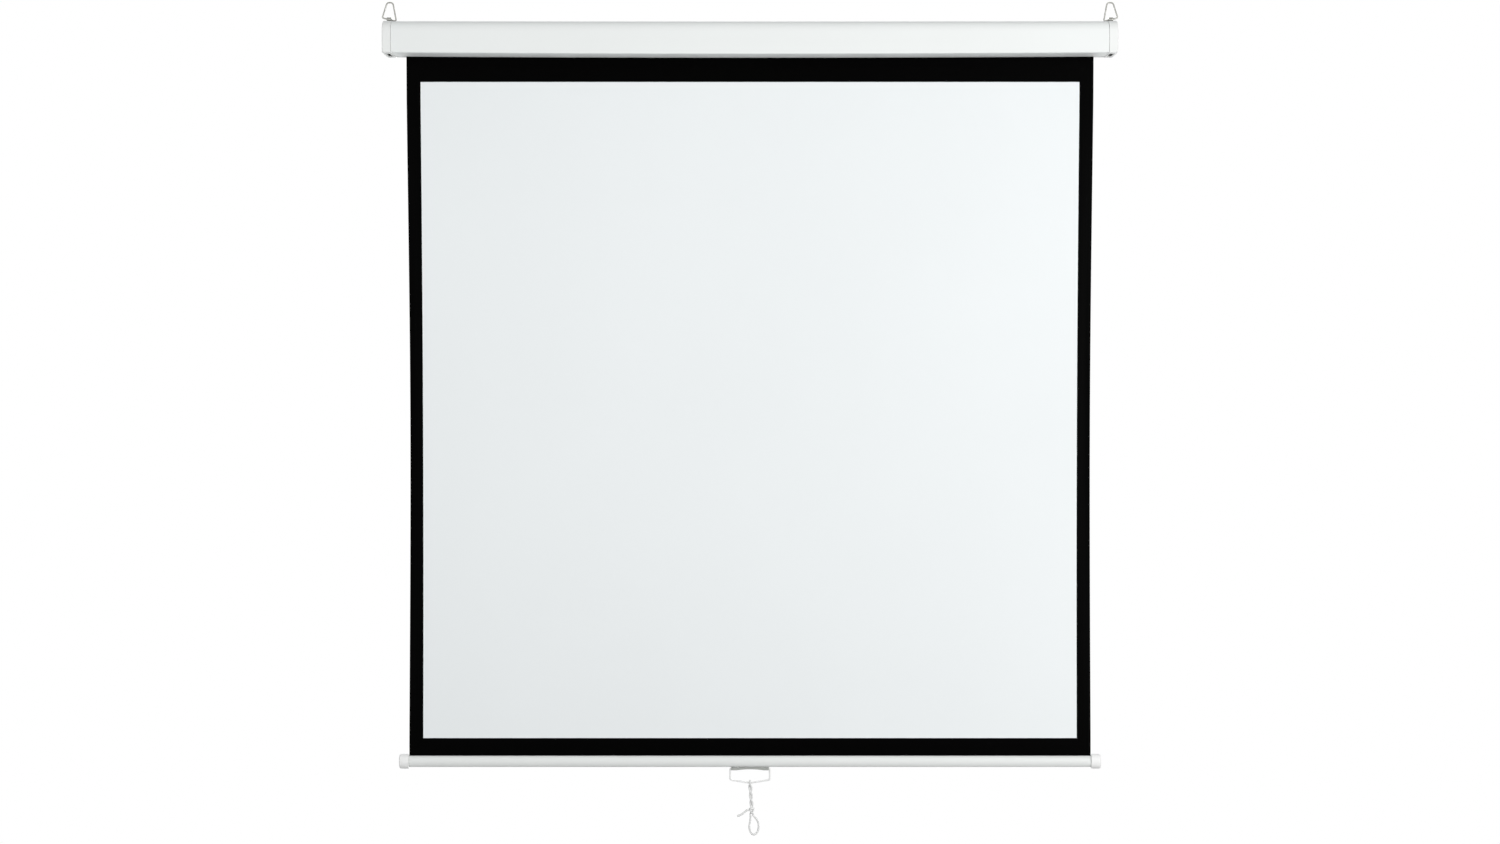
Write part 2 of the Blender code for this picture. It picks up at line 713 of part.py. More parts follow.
def make_pawl(name, turn, roller):
    """A pawl held clear of the hub, and the pin that it swings on."""
    face = -FLANGE_FACE_X - GAP
    pivot = Vector((0, -sin(turn) * PAWL_PIVOT_RADIUS, AXIS_Z + cos(turn) * PAWL_PIVOT_RADIUS))
    axis = axis_empty(f"pawl_{name}_axis", (face, pivot.y, pivot.z), roller)
    heading = PAWL_FREE_ANGLE + turn
    half = atan2(PAWL_HALF_WIDTH, sqrt(PAWL_BOSS_RADIUS**2 - PAWL_HALF_WIDTH**2))
    boss = arc((0, 0), PAWL_BOSS_RADIUS, heading + half, heading + 2 * pi - half, 16)
    tip = (PAWL_LENGTH * cos(heading), PAWL_LENGTH * sin(heading))
    nose = arc(tip, PAWL_HALF_WIDTH, heading - pi / 2, heading + pi / 2, 6)
    bore = circle((0, 0), PAWL_PIN_RADIUS + GAP, 16)
    matrix = across_x(face - PAWL_THICKNESS / 2, pivot.y, pivot.z)
    flat_curve(f"pawl_{name}", [boss + nose, bore], PAWL_THICKNESS, matrix, nylon(), axis)
    head = face - PAWL_THICKNESS - GAP
    profile = [
        (0, -FLANGE_FACE_X + PAWL_PIN_DEPTH),
        (PAWL_PIN_RADIUS, -FLANGE_FACE_X + PAWL_PIN_DEPTH),
        (PAWL_PIN_RADIUS, head),
        (PAWL_PIN_HEAD_RADIUS, head),
        (PAWL_PIN_HEAD_RADIUS, head - PAWL_PIN_HEAD),
        (0, head - PAWL_PIN_HEAD),
    ]
    turned(f"pawl_pin_{name}", profile, (0, pivot.y, pivot.z), plain_steel(), roller, 12, closed=False)


def make_spring_end_plug(roller):
    """The plug that carries the pawls and the spring's moving end, free on the spindle."""
    flange = -TUBE_HALF - GAP
    body_end = flange + PLUG_DEPTH
    neck_end = body_end + SPRING_NECK_LENGTH
    profile = [
        (SPRING_NECK_RADIUS, neck_end),
        (SPRING_NECK_RADIUS, body_end),
        (PLUG_RADIUS, body_end),
        (PLUG_RADIUS, flange),
        (TUBE_RADIUS, flange),
        (TUBE_RADIUS, -FLANGE_FACE_X),
        (SHAFT_BORE, -FLANGE_FACE_X),
        (SHAFT_BORE, neck_end),
    ]
    plug = turned("spring_end_plug", profile, (0, 0, AXIS_Z), nylon(), roller, 32)
    for level in (-1, 1):
        z = AXIS_Z + level * PAWL_PIVOT_RADIUS
        hole = rod(
            (-FLANGE_FACE_X - 0.001, 0, z),
            (-FLANGE_FACE_X + PAWL_PIN_DEPTH + GAP, 0, z),
            PAWL_PIN_RADIUS + GAP,
            12,
        )
        cut(plug, f"pin_hole_{level}", hole)


def make_spring():
    """The coiled spring round the spindle; prints the least gap between its turns."""
    radius = SPRING_NECK_RADIUS + GAP + SPRING_WIRE_RADIUS
    first = SPRING_START_X + GAP + SPRING_WIRE_RADIUS
    length = SPRING_LENGTH - 2 * (GAP + SPRING_WIRE_RADIUS)
    count = SPRING_TURNS * SPRING_POINTS_PER_TURN
    points = []
    for i in range(count + 1):
        turn = 2 * pi * i / SPRING_POINTS_PER_TURN
        along = first + length * i / count
        points.append((along, radius * cos(turn), AXIS_Z + radius * sin(turn)))
    wire("counterbalance_spring", points, SPRING_WIRE_RADIUS, plain_steel(), None, sides=0)
    turns_apart = length / SPRING_TURNS - 2 * SPRING_WIRE_RADIUS
    print(f"least gap between the spring's turns: {turns_apart * 1000:.2f} mm")


def make_spring_train(roller):
    """The spring with its fixed anchor, and the support that centres the tube on the spindle."""
    make_spring()
    profile = [
        (ANCHOR_RADIUS, ANCHOR_X + ANCHOR_THICKNESS),
        (ANCHOR_RADIUS, ANCHOR_X),
        (SPRING_NECK_RADIUS, ANCHOR_X),
        (SPRING_NECK_RADIUS, ANCHOR_X - ANCHOR_BOSS),
        (SHAFT_BORE, ANCHOR_X - ANCHOR_BOSS),
        (SHAFT_BORE, ANCHOR_X + ANCHOR_THICKNESS),
    ]
    turned("spring_anchor", profile, (0, 0, AXIS_Z), plain_steel(), None, 24)
    end = SUPPORT_X + SUPPORT_THICKNESS
    sleeve("inner_support", PLUG_RADIUS, SHAFT_BORE, SUPPORT_X, end, nylon(), roller)


def make_roller(roller):
    """The tube, the turns of sheet left on it and its idle end."""
    inner = TUBE_RADIUS - TUBE_WALL
    sleeve("roller_tube", TUBE_RADIUS, inner, -TUBE_HALF, TUBE_HALF, plain_steel(), roller)
    half = SHEET_WIDTH / 2
    sleeve("sheet_turns", TURNS_RADIUS, TUBE_RADIUS + GAP, -half, half, matt_black(), roller)
    flange = TUBE_HALF + GAP
    profile = [
        (TUBE_RADIUS, FLANGE_FACE_X),
        (TUBE_RADIUS, flange),
        (PLUG_RADIUS, flange),
        (PLUG_RADIUS, flange - IDLE_PLUG_DEPTH),
        (SHAFT_BORE, flange - IDLE_PLUG_DEPTH),
        (SHAFT_BORE, FLANGE_FACE_X),
    ]
    turned("idle_end_plug", profile, (0, 0, AXIS_Z), nylon(), roller)
    pin = rod((PLATE_OUTER_X - IDLE_PIN_LENGTH, 0, AXIS_Z), (PLATE_OUTER_X, 0, AXIS_Z), SPINDLE_RADIUS)
    add_piece("idle_pin", to_mesh("idle_pin", pin), plain_steel(), roller)


def make_idle_bush():
    """The flanged bush in the right bracket that the idle pin turns in."""
    flange = PLATE_INNER_X - GAP
    profile = [
        (BUSH_RADIUS, PLATE_OUTER_X),
        (BUSH_RADIUS, flange),
        (BUSH_FLANGE_RADIUS, flange),
        (BUSH_FLANGE_RADIUS, flange - BUSH_FLANGE_THICKNESS),
        (SHAFT_BORE, flange - BUSH_FLANGE_THICKNESS),
        (SHAFT_BORE, PLATE_OUTER_X),
    ]
    turned("idle_bush", profile, (0, 0, AXIS_Z), nylon(), None)


def make_sheet():
    """The hanging sheet: a black backing with the white viewing face on its front."""
    half = SHEET_WIDTH / 2
    backing = box(
        (-half, BACKING_Y - BACKING_THICKNESS / 2, SHEET_END_Z),
        (half, BACKING_Y + BACKING_THICKNESS / 2, AXIS_Z),
    )
    add_piece("sheet_backing", to_mesh("sheet_backing", backing), matt_black())
    face = box(
        (-VIEW_WIDTH / 2, FACE_Y - FACE_THICKNESS / 2, VIEW_BOTTOM_Z),
        (VIEW_WIDTH / 2, FACE_Y + FACE_THICKNESS / 2, VIEW_TOP_Z),
    )
    add_piece("viewing_face", to_mesh("viewing_face", face), matt_white())


def make_weight_bar(travel):
    """The oval bar, its rod in the sheet's hem and its end caps."""
    section = bar_outline(0, slot=BAR_SLOT_HALF_WIDTH)
    section += bar_outline(-BAR_WALL, slot=BAR_SLOT_HALF_WIDTH)[::-1]
    shape = prism(section, -BAR_END_X, BAR_END_X)
    bar = add_piece("weight_bar", to_mesh("weight_bar", shape), white_steel(), travel)
    for name, side in SIDES:
        x = side * HANDLE_SCREW_SPACING / 2
        hole = rod(
            (x, BACKING_Y, BAR_BOTTOM_Z - 0.001),
            (x, BACKING_Y, BAR_BOTTOM_Z + BAR_WALL + 0.001),
            HANDLE_SCREW_RADIUS + GAP,
            16,
        )
        cut(bar, f"bar_hole_{name}", hole)
    half = SHEET_WIDTH / 2 - GAP
    hem = rod((-half, BACKING_Y, HEM_ROD_Z), (half, BACKING_Y, HEM_ROD_Z), HEM_ROD_RADIUS, 12)
    add_piece("hem_rod", to_mesh("hem_rod", hem), plain_steel(), travel)
    for name, side in SIDES:
        start = SHEET_WIDTH / 2 + GAP
        end = start + BAR_CAP_LENGTH
        shape = prism(bar_outline(GAP + BAR_CAP_WALL), side * start, side * end)
        round_end(shape, side * end, BAR_CAP_ROUNDING)
        cap = add_piece(f"bar_cap_{name}", to_mesh("bar_cap", shape), white_plastic(), travel)
        hollow = prism(bar_outline(GAP), side * (start - GAP), side * (end - BAR_CAP_END_WALL))
        cut(cap, f"bar_cap_hollow_{name}", hollow)


def make_handle_base(travel):
    """The block under the bar that the handle's ends turn in, and its two screws."""
    low = BASE_TOP_Z - BASE_HEIGHT
    half_width = BASE_WIDTH / 2
    steps = 12
    outline = [(BASE_HALF_LENGTH, low), (BASE_HALF_LENGTH, BASE_TOP_Z)]
    outline += [(-BASE_HALF_LENGTH, BASE_TOP_Z), (-BASE_HALF_LENGTH, low)]
    for i in range(steps + 1):
        share = 2 * i / steps - 1
        outline.append((BASE_ARCH_HALF_LENGTH * share, low + BASE_ARCH_RISE * (1 - share**2)))
    shape = bmesh.new()
    front = BACKING_Y - half_width
    base_face = shape.faces.new([shape.verts.new((x, front, z)) for x, z in outline])
    grown = bmesh.ops.extrude_face_region(shape, geom=[base_face])["geom"]
    moved = [vert for vert in grown if isinstance(vert, bmesh.types.BMVert)]
    bmesh.ops.translate(shape, verts=moved, vec=(0, BASE_WIDTH, 0))
    base = add_piece("handle_base", to_mesh("handle_base", shape), white_plastic(), travel)
    seat = BASE_TOP_Z - HANDLE_SCREW_SEAT
    for name, side in SIDES:
        bore = rod(
            (side * (HANDLE_HALF_WIDTH - HANDLE_STUB - GAP), BACKING_Y, HANDLE_Z),
            (side * (BASE_HALF_LENGTH + GAP), BACKING_Y, HANDLE_Z),
            HANDLE_WIRE_RADIUS + GAP,
            16,
        )
        cut(base, f"handle_bore_{name}", bore)
        x = side * HANDLE_SCREW_SPACING / 2
        above = (x, BACKING_Y, BASE_TOP_Z + GAP)
        below = (x, BACKING_Y, low - GAP)
        cut(base, f"base_hole_{name}", rod(below, above, HANDLE_SCREW_RADIUS + GAP, 16))
        sink = rod(below, (x, BACKING_Y, seat), HANDLE_SCREW_HEAD_RADIUS + GAP, 16)
        cut(base, f"base_sink_{name}", sink)
        make_handle_screw(name, x, seat - GAP, travel)


def make_handle_screw(name, x, head, travel):
    low = (x, BACKING_Y, head - HANDLE_SCREW_HEAD)
    middle = (x, BACKING_Y, head - HANDLE_SCREW_HEAD / 2)
    high = (x, BACKING_Y, head)
    tip = (x, BACKING_Y, BASE_TOP_Z + HANDLE_SCREW_REACH)
    shape = rod(low, high, HANDLE_SCREW_HEAD_RADIUS, 16)
    screw = add_piece(f"handle_screw_{name}", to_mesh("handle_screw", shape), zinc(), travel)
    cut(screw, f"shank_{name}", rod(middle, tip, HANDLE_SCREW_RADIUS, 16), "UNION")


def make_handle(travel):
    """The wire handle, its ends turned into the base and its grip bowed down at the middle."""
    axis = axis_empty("handle_axis", (0, BACKING_Y, HANDLE_Z), travel)
    stub = HANDLE_HALF_WIDTH - HANDLE_STUB
    radius = HANDLE_CORNER_RADIUS
    tight = HANDLE_WIRE_RADIUS * 1.3
    half = [(stub, 0.0)]
    half += arc((HANDLE_HALF_WIDTH - tight, -tight), tight, pi / 2, 0, 4)
    half += arc((HANDLE_HALF_WIDTH - radius, radius - HANDLE_LEG), radius, 0, -pi / 3, 4)
    last_x, last_z = half[-1]
    steps = 7
    for i in range(1, steps):
        share = i / steps
        drop = (1 - cos(pi * share)) / 2
        z = last_z + (-HANDLE_LEG - HANDLE_BOW - last_z) * (0.35 * share + 0.65 * drop)
        half.append((last_x * (1 - share), z))
    middle = [(0.0, -HANDLE_LEG - HANDLE_BOW)]
    outline = [(-x, z) for x, z in half] + middle + half[::-1]
    points = [(x, BACKING_Y, HANDLE_Z + z) for x, z in outline]
    wire("pull_handle", points, HANDLE_WIRE_RADIUS, white_plastic(), axis)
    return axis


def strand_points(knot, start_side):
    """One strand from the grip's side down to the knot, twisted round the other strand."""
    wide = HANDLE_WIRE_RADIUS + GAP + CORD_RADIUS
    close = CORD_RADIUS + STRAND_GAP / 2
    top = Vector((0, BACKING_Y, GRIP_Z))
    bottom = Vector((knot.x, BACKING_Y, knot.z + KNOT_RADII[2] + GAP))
    points = []
    for i in range(STRAND_POINTS + 1):
        share = i / STRAND_POINTS
        spread = max(0.0, 1 - share / 0.25) ** 2
        radius = close + (wide - close) * spread
        angle = start_side * pi / 2 + 2 * pi * STRAND_TURNS * max(0.0, share - 0.06) / 0.94
        middle = top.lerp(bottom, share)
        points.append(middle + Vector((radius * cos(angle), radius * sin(angle), 0)))
    return points


def make_cord(handle):
    """The doubled strand over the grip, the knot, the finger loop and the tail."""
    axis = axis_empty("cord_axis", (0, BACKING_Y, GRIP_Z), handle)
    knot = Vector((KNOT_SHIFT, BACKING_Y, KNOT_Z))
    front = strand_points(knot, -1)
    back = strand_points(knot, 1)
    wide = HANDLE_WIRE_RADIUS + GAP + CORD_RADIUS
    over = [Vector((0, BACKING_Y + y, GRIP_Z + z)) for y, z in arc((0, 0), wide, pi, 0, 6)[1:-1]]
    print_strand_gap(front, back)
    wire("cord_strands", front[::-1] + over + back, CORD_RADIUS, white_cord(), axis)

    ball = bmesh.new()
    bmesh.ops.create_uvsphere(ball, u_segments=14, v_segments=9, radius=1)
    bmesh.ops.scale(ball, vec=KNOT_RADII, verts=ball.verts)
    bmesh.ops.translate(ball, vec=knot, verts=ball.verts)
    add_piece("cord_knot", to_mesh("cord_knot", ball), white_cord(), axis)

    low = -KNOT_RADII[2] - GAP
    ends = [(x, 0, low) for x in (-LOOP_STRAND_OFFSET, LOOP_STRAND_OFFSET)]
    leads = [(x, 0, low - LOOP_LEAD) for x, _, low in ends]
    route = [ends[0], leads[0], *LOOP_ROUTE, leads[1], ends[1]]
    loop = [knot + point for point in smooth_route(route, CORD_SPACING)]
    wire("finger_loop", loop, CORD_RADIUS, white_cord(), axis)

    side = -KNOT_RADII[0] - GAP
    route = [(side, 0, 0), (side - TAIL_LEAD, 0, 0), *TAIL_ROUTE]
    tail = [knot + point for point in smooth_route(route, CORD_SPACING)]
    wire("cord_tail", tail, CORD_RADIUS, white_cord(), axis)
    lengths = [
        sum((b - a).length for a, b in zip(points, points[1:]))
        for points in (front[::-1] + over + back, loop, tail)
    ]
    print("cord lengths in mm:", " + ".join(f"{length * 1000:.0f}" for length in lengths))


def print_strand_gap(front, back):
    least = min((a - b).length for a in front[2:] for b in back[2:])
    print(f"least gap between the cord's strands: {(least - 2 * CORD_RADIUS) * 1000:.2f} mm")


def main():
    make_case_shell()
    for name, side in SIDES:
        make_end_cap(name, side)
        make_end_bracket(name, side)
        make_cap_screws(name, side)
        make_ring(name, side)
    make_spindle()
    make_ratchet_hub()
    make_idle_bush()
    roller = axis_empty("roller_axis", (0, 0, AXIS_Z))
    make_spring_end_plug(roller)
    make_pawl("upper", 0, roller)
    make_pawl("lower", pi, roller)
    make_spring_train(roller)
    make_roller(roller)
    make_sheet()
    travel = axis_empty("travel_datum", (0, BACKING_Y, BAR_Z))
    make_weight_bar(travel)
    make_handle_base(travel)
    make_cord(make_handle(travel))


main()
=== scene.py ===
"""Dresses the fixed frame of a manual pull-down projector screen and sets it before a camera."""

from contextlib import contextmanager
from math import atan2, copysign, cos, pi, radians, sin, tan

import bmesh
import bpy
from bpy.props import FloatProperty, FloatVectorProperty, IntProperty, PointerProperty
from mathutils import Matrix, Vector


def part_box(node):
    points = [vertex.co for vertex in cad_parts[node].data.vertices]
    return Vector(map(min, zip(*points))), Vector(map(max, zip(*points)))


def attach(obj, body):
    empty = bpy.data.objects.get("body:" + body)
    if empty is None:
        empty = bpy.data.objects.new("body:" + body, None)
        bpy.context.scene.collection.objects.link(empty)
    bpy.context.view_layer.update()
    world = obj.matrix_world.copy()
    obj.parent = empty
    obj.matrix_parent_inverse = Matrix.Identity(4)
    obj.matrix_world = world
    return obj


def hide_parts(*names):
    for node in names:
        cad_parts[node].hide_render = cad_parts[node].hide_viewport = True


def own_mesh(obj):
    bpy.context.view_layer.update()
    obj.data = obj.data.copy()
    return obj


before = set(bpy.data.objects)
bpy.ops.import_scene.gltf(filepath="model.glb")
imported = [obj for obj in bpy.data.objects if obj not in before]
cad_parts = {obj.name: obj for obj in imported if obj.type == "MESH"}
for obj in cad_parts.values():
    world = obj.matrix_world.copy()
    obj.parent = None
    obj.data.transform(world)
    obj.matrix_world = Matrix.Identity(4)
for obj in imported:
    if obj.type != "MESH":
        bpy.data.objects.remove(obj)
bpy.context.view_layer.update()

bl_info = {
    "name": "Pull-down projector screen",
    "version": (1, 0, 0),
    "blender": (4, 5, 0),
    "location": "3D View > Sidebar > Screen",
    "description": "Models the case, sheet, bar, handle and cord of a pull-down projector screen",
    "category": "Add Mesh",
}

HANDLE_WIRE = 0.0017
X, Y, Z = range(3)


def number(name, description, default, **kind):
    return FloatProperty(name=name, description=description, default=default, **kind)


def length(name, description, default):
    return number(name, description, default, unit="LENGTH", precision=5)


def colour(name, description, default):
    return FloatVectorProperty(
        name=name, description=description, default=default, subtype="COLOR", min=0, max=1
    )


class PULLDOWN_PG_sizes(bpy.types.PropertyGroup):
    """Sizes of the pieces that are modelled here."""

    case_wall: length("Case wall", "Thickness of the case's folded steel", 0.0008)
    case_top_radius: length("Case top radius", "Radius of the case's two top corners", 0.020)
    case_bottom_radius: length("Case bottom radius", "Radius of its two bottom corners", 0.003)
    slot_front: length("Slot front", "How far behind the roller's axis the slot begins", 0.0190)
    slot_rear: length("Slot rear", "How far behind the roller's axis the slot ends", 0.0300)
    hem_height: length("Hem height", "Height of the folded lips along the slot", 0.004)
    case_sag: length("Case sag", "How far the middle of the case's lower lip sags", 0.0024)
    cap_wall: length("Cap wall", "Wall of the case's end caps", 0.0025)
    cap_rounding: length("Cap rounding", "Rounding of the end caps' outer edge", 0.0022)
    ring_wire: length("Ring wire", "Radius of the hanging rings' wire", 0.0014)
    sheet_thickness: length("Sheet thickness", "Thickness of the screen's sheet", 0.0006)
    sheet_wave: length("Sheet wave", "Depth of the sheet's faint waves", 0.0005)
    sheet_draw_in: length("Draw-in", "How far each side of the sheet draws in midway", 0.0023)
    left_curl: number("Left curl", "Turn of the left border midway", 0.52, unit="ROTATION")
    right_curl: number("Right curl", "Turn of the right border midway", 0.42, unit="ROTATION")
    bar_wall: length("Bar wall", "Wall of the weight bar", 0.0012)
    bar_cap_wall: length("Bar cap wall", "Wall of the weight bar's end caps", 0.0026)
    bar_cap_rounding: length("Bar cap rounding", "Rounding of the bar caps' ends", 0.0032)
    handle_wire: length("Handle wire", "Radius of the pull handle's wire", HANDLE_WIRE)
    cord_radius: length("Cord radius", "Radius of the pull cord", 0.0018)
    cord_sides: IntProperty(name="Cord sides", description="Faces round it", default=12, min=8)


class PULLDOWN_PG_colours(bpy.types.PropertyGroup):
    """Colours of the finishes."""

    paint: colour("Case paint", "White paint on the case", (0.85, 0.868, 0.856))
    # The bar is the same white painted steel as the case; its darker colour is painted shade, a
    # shaded copy of the case paint.
    bar_paint: colour("Bar paint", "Glossier white paint on the bar", (0.79, 0.805, 0.79))
    cap_plastic: colour("Case cap plastic", "Plastic of the case's caps", (0.84, 0.85, 0.835))
    plastic: colour("Plastic", "Plastic of the bar's caps and the handle", (0.89, 0.89, 0.88))
    # The handle's base is white plastic; this grey is painted shade, for the shade under the bar.
    grey_plastic: colour("Grey plastic", "Plastic of the handle's base", (0.38, 0.39, 0.37))
    white_sheet: colour("White sheet", "The viewing face", (0.862, 0.889, 0.894))
    black_sheet: colour("Black border", "Round the viewing face", (0.0004, 0.0004, 0.0004))
    black_back: colour("Black back", "Coating on the sheet's back", (0.016, 0.016, 0.017))
    zinc: colour("Zinc", "Zinc plate on wire and brackets", (0.29, 0.29, 0.27))
    steel: colour("Steel", "Bare drawn steel inside the roller", (0.50, 0.50, 0.50))
    nylon: colour("Nylon", "Uncoloured nylon of the plugs and pawls", (0.74, 0.71, 0.63))
    cord: colour("Cord", "Braided cord", (0.88, 0.88, 0.87))
    floor: colour("Floor", "Pale floor, as it is seen", (0.92, 0.92, 0.92))
    floor_bounce: colour("Floor bounce", "The light that the floor returns", (0.3, 0.3, 0.3))


class PULLDOWN_PG_stage(bpy.types.PropertyGroup):
    """The camera and the light."""

    lens: number("Lens", "Focal length in millimetres", 50.0)
    camera_distance: length("Camera distance", "From the roller's axis to the camera", 4.01)
    camera_height: length("Camera height", "Height of the camera from the origin", -0.697)
    camera_pitch: number("Pitch", "How far it looks down", radians(1.5), subtype="ANGLE")
    floor_height: length("Floor height", "Height of the floor from the origin", -2.25)
    floor_reach: length("Floor reach", "How far it runs before it is lost in white", 2.7)
    lamp_height: length("Lamp height", "Height of the softboxes' middles", -0.62)
    lamp_distance: length("Lamp distance", "From each softbox to the screen's plane", 3.0)
    lamp_spread: length("Lamp spread", "How far the front ones stand to the sides", 2.1)
    lamp_width: length("Lamp width", "Width of a softbox", 1.0)
    lamp_tall: length("Lamp length", "Length of a softbox from bottom to top", 3.0)
    sky: number("Sky", "Strength of the even light", 0.18)
    overhead: number("Overhead", "How much the even light gains straight above", 0.45)
    underneath: number("Underneath", "How much it gains straight below", 0.7)
    key: number("Key", "Power of the right softbox in watts", 81.5)
    fill: number("Fill", "Power of the left softbox in watts", 32.0)
    back: number("Back", "Power of the softbox behind in watts", 60.0)


def sizes():
    return bpy.context.scene.pulldown_sizes


def colours():
    return bpy.context.scene.pulldown_colours


# Mesh tools

TOLERANCE = 0.00001
SLACK = 0.0001
WIRE_SIDES = 20
BEND_STEPS = 12


def rest():
    """Leaves edit mode and deselects everything."""
    if bpy.context.mode != "OBJECT":
        bpy.ops.object.mode_set(mode="OBJECT")
    bpy.ops.object.select_all(action="DESELECT")


def pick(piece):
    rest()
    piece.select_set(True)
    bpy.context.view_layer.objects.active = piece


@contextmanager
def editing(piece, kind=None, test=None):
    """Opens a mesh, with all of it selected, or the edges or faces whose corners pass a test."""
    pick(piece)
    bpy.ops.object.mode_set(mode="EDIT")
    if kind:
        bpy.ops.mesh.select_mode(type=kind)
        bpy.ops.mesh.select_all(action="DESELECT")
        shape = bmesh.from_edit_mesh(piece.data)
        for part in shape.edges if kind == "EDGE" else shape.faces:
            if test([vert.co for vert in part.verts]):
                part.select_set(True)
        shape.select_flush_mode()
        bmesh.update_edit_mesh(piece.data)
    else:
        bpy.ops.mesh.select_all(action="SELECT")
    yield
    bpy.ops.object.mode_set(mode="OBJECT")


def near(value, target):
    return abs(value - target) < TOLERANCE


def at(axis, value):
    """A test for edges or faces that lie wholly at one place of an axis."""
    return lambda places: all(near(place[axis], value) for place in places)


def middle_of(node):
    """The Y and Z of the middle of a node's box."""
    low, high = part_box(node)
    return (low.y + high.y) / 2, (low.z + high.z) / 2


def named(name):
    """Names the new piece and puts its place into its mesh."""
    piece = bpy.context.object
    piece.name = piece.data.name = name
    pick(piece)
    bpy.ops.object.transform_apply(location=True, rotation=True, scale=True)
    return piece


def from_shape(name, shape):
    """Makes a bmesh a piece."""
    mesh = bpy.data.meshes.new(name)
    shape.to_mesh(mesh)
    shape.free()
    piece = bpy.data.objects.new(name, mesh)
    bpy.context.scene.collection.objects.link(piece)
    return piece


def block(name, low, high):
    """A box between its low and high corners."""
    rest()
    low, high = Vector(low), Vector(high)
    bpy.ops.mesh.primitive_cube_add(size=1, location=(low + high) / 2)
    bpy.context.object.scale = high - low
    return named(name)


def oval_rod(name, start_x, end_x, center, half_depth, half_height, sides, ends="NGON"):
    """A rod along X with an oval section, a corner of it at the top."""
    rest()
    bpy.ops.mesh.primitive_cylinder_add(
        vertices=sides, radius=1, depth=1, end_fill_type=ends,
        location=((start_x + end_x) / 2, *center), rotation=(0, pi / 2, 0),
    )
    bpy.context.object.scale = (half_height, half_depth, abs(end_x - start_x))
    return named(name)


def round_rod(name, start_x, end_x, center, radius, sides):
    return oval_rod(name, start_x, end_x, center, radius, radius, sides)


def round_edges(piece, test, radius, segments):
    with editing(piece, "EDGE", test):
        bpy.ops.mesh.bevel(offset=radius, segments=segments, profile=0.5, affect="EDGES")


def remove_faces(piece, test):
    with editing(piece, "FACE", test):
        bpy.ops.mesh.delete(type="FACE")


def slice_at(piece, axis, value):
    """Cuts a mesh along a plane, and keeps both sides joined."""
    point, normal = Vector(), Vector()
    point[axis], normal[axis] = value, 1
    with editing(piece):
        bpy.ops.mesh.bisect(plane_co=point, plane_no=normal, use_fill=False)


def extrude(x, y, z):
    """In edit mode, draws what is selected straight on."""
    bpy.ops.mesh.extrude_region_move(TRANSFORM_OT_translate={"value": (x, y, z)})


def apply_modifier(piece, kind, **settings):
    pick(piece)
    modifier = piece.modifiers.new(kind.lower(), kind)
    for key, value in settings.items():
        setattr(modifier, key, value)
    bpy.ops.object.modifier_apply(modifier=modifier.name)


def wall(piece, thickness):
    """Gives an open skin its thickness, inwards."""
    apply_modifier(piece, "SOLIDIFY", thickness=thickness, offset=-1, use_even_offset=True)


def combine(piece, operation, *others):
    """Cuts other shapes out of a piece or adds them to it, and uses them up."""
    for other in others:
        apply_modifier(piece, "BOOLEAN", operation=operation, solver="EXACT", object=other)
        bpy.data.objects.remove(other, do_unlink=True)


def smooth(piece, angle):
    pick(piece)
    bpy.ops.object.shade_smooth_by_angle(angle=radians(angle))


def weigh(piece):
    """Lets flat faces keep their shading up to the rounded edges beside them."""
    apply_modifier(piece, "WEIGHTED_NORMAL", keep_sharp=True)


def soften(piece, width, segments, angle=35):
    """Breaks the sharp edges and smooths the rest."""
    limit = {"limit_method": "ANGLE", "angle_limit": radians(angle)}
    apply_modifier(piece, "BEVEL", width=width, segments=segments, **limit)
    smooth(piece, angle)
    weigh(piece)


def clean(piece):
    with editing(piece):
        bpy.ops.mesh.remove_doubles(threshold=TOLERANCE)
        bpy.ops.mesh.normals_make_consistent(inside=False)


def coat(piece, finish):
    piece.data.materials.clear()
    piece.data.materials.append(look(finish))


def finish_piece(piece, body, slot, finish, *replaced):
    """Gives a finished piece its finish and its body, and hides the nodes that it stands for."""
    coat(piece, finish)
    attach(piece, body)
    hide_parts(*replaced)
    return piece


def twin(piece, name, rise=0.0, mirror=True):
    """A copy of a shape with its own mesh, raised, or mirrored across the screen's middle."""
    copy = piece.copy()
    copy.data = piece.data.copy()
    bpy.context.scene.collection.objects.link(copy)
    copy.location.z = rise
    if mirror:
        copy.scale.x = -1
    pick(copy)
    named(name)
    if mirror:
        clean(copy)
        weigh(copy)
    return copy


def finish_pair(right, left_name, body, slot, finish, node):
    """Mirrors a right-hand piece and finishes both; {} in body and node stands for the side."""
    left = twin(right, left_name)
    for piece, side in ((right, "right"), (left, "left")):
        finish_piece(piece, body.format(side), slot, finish, node.format(side))


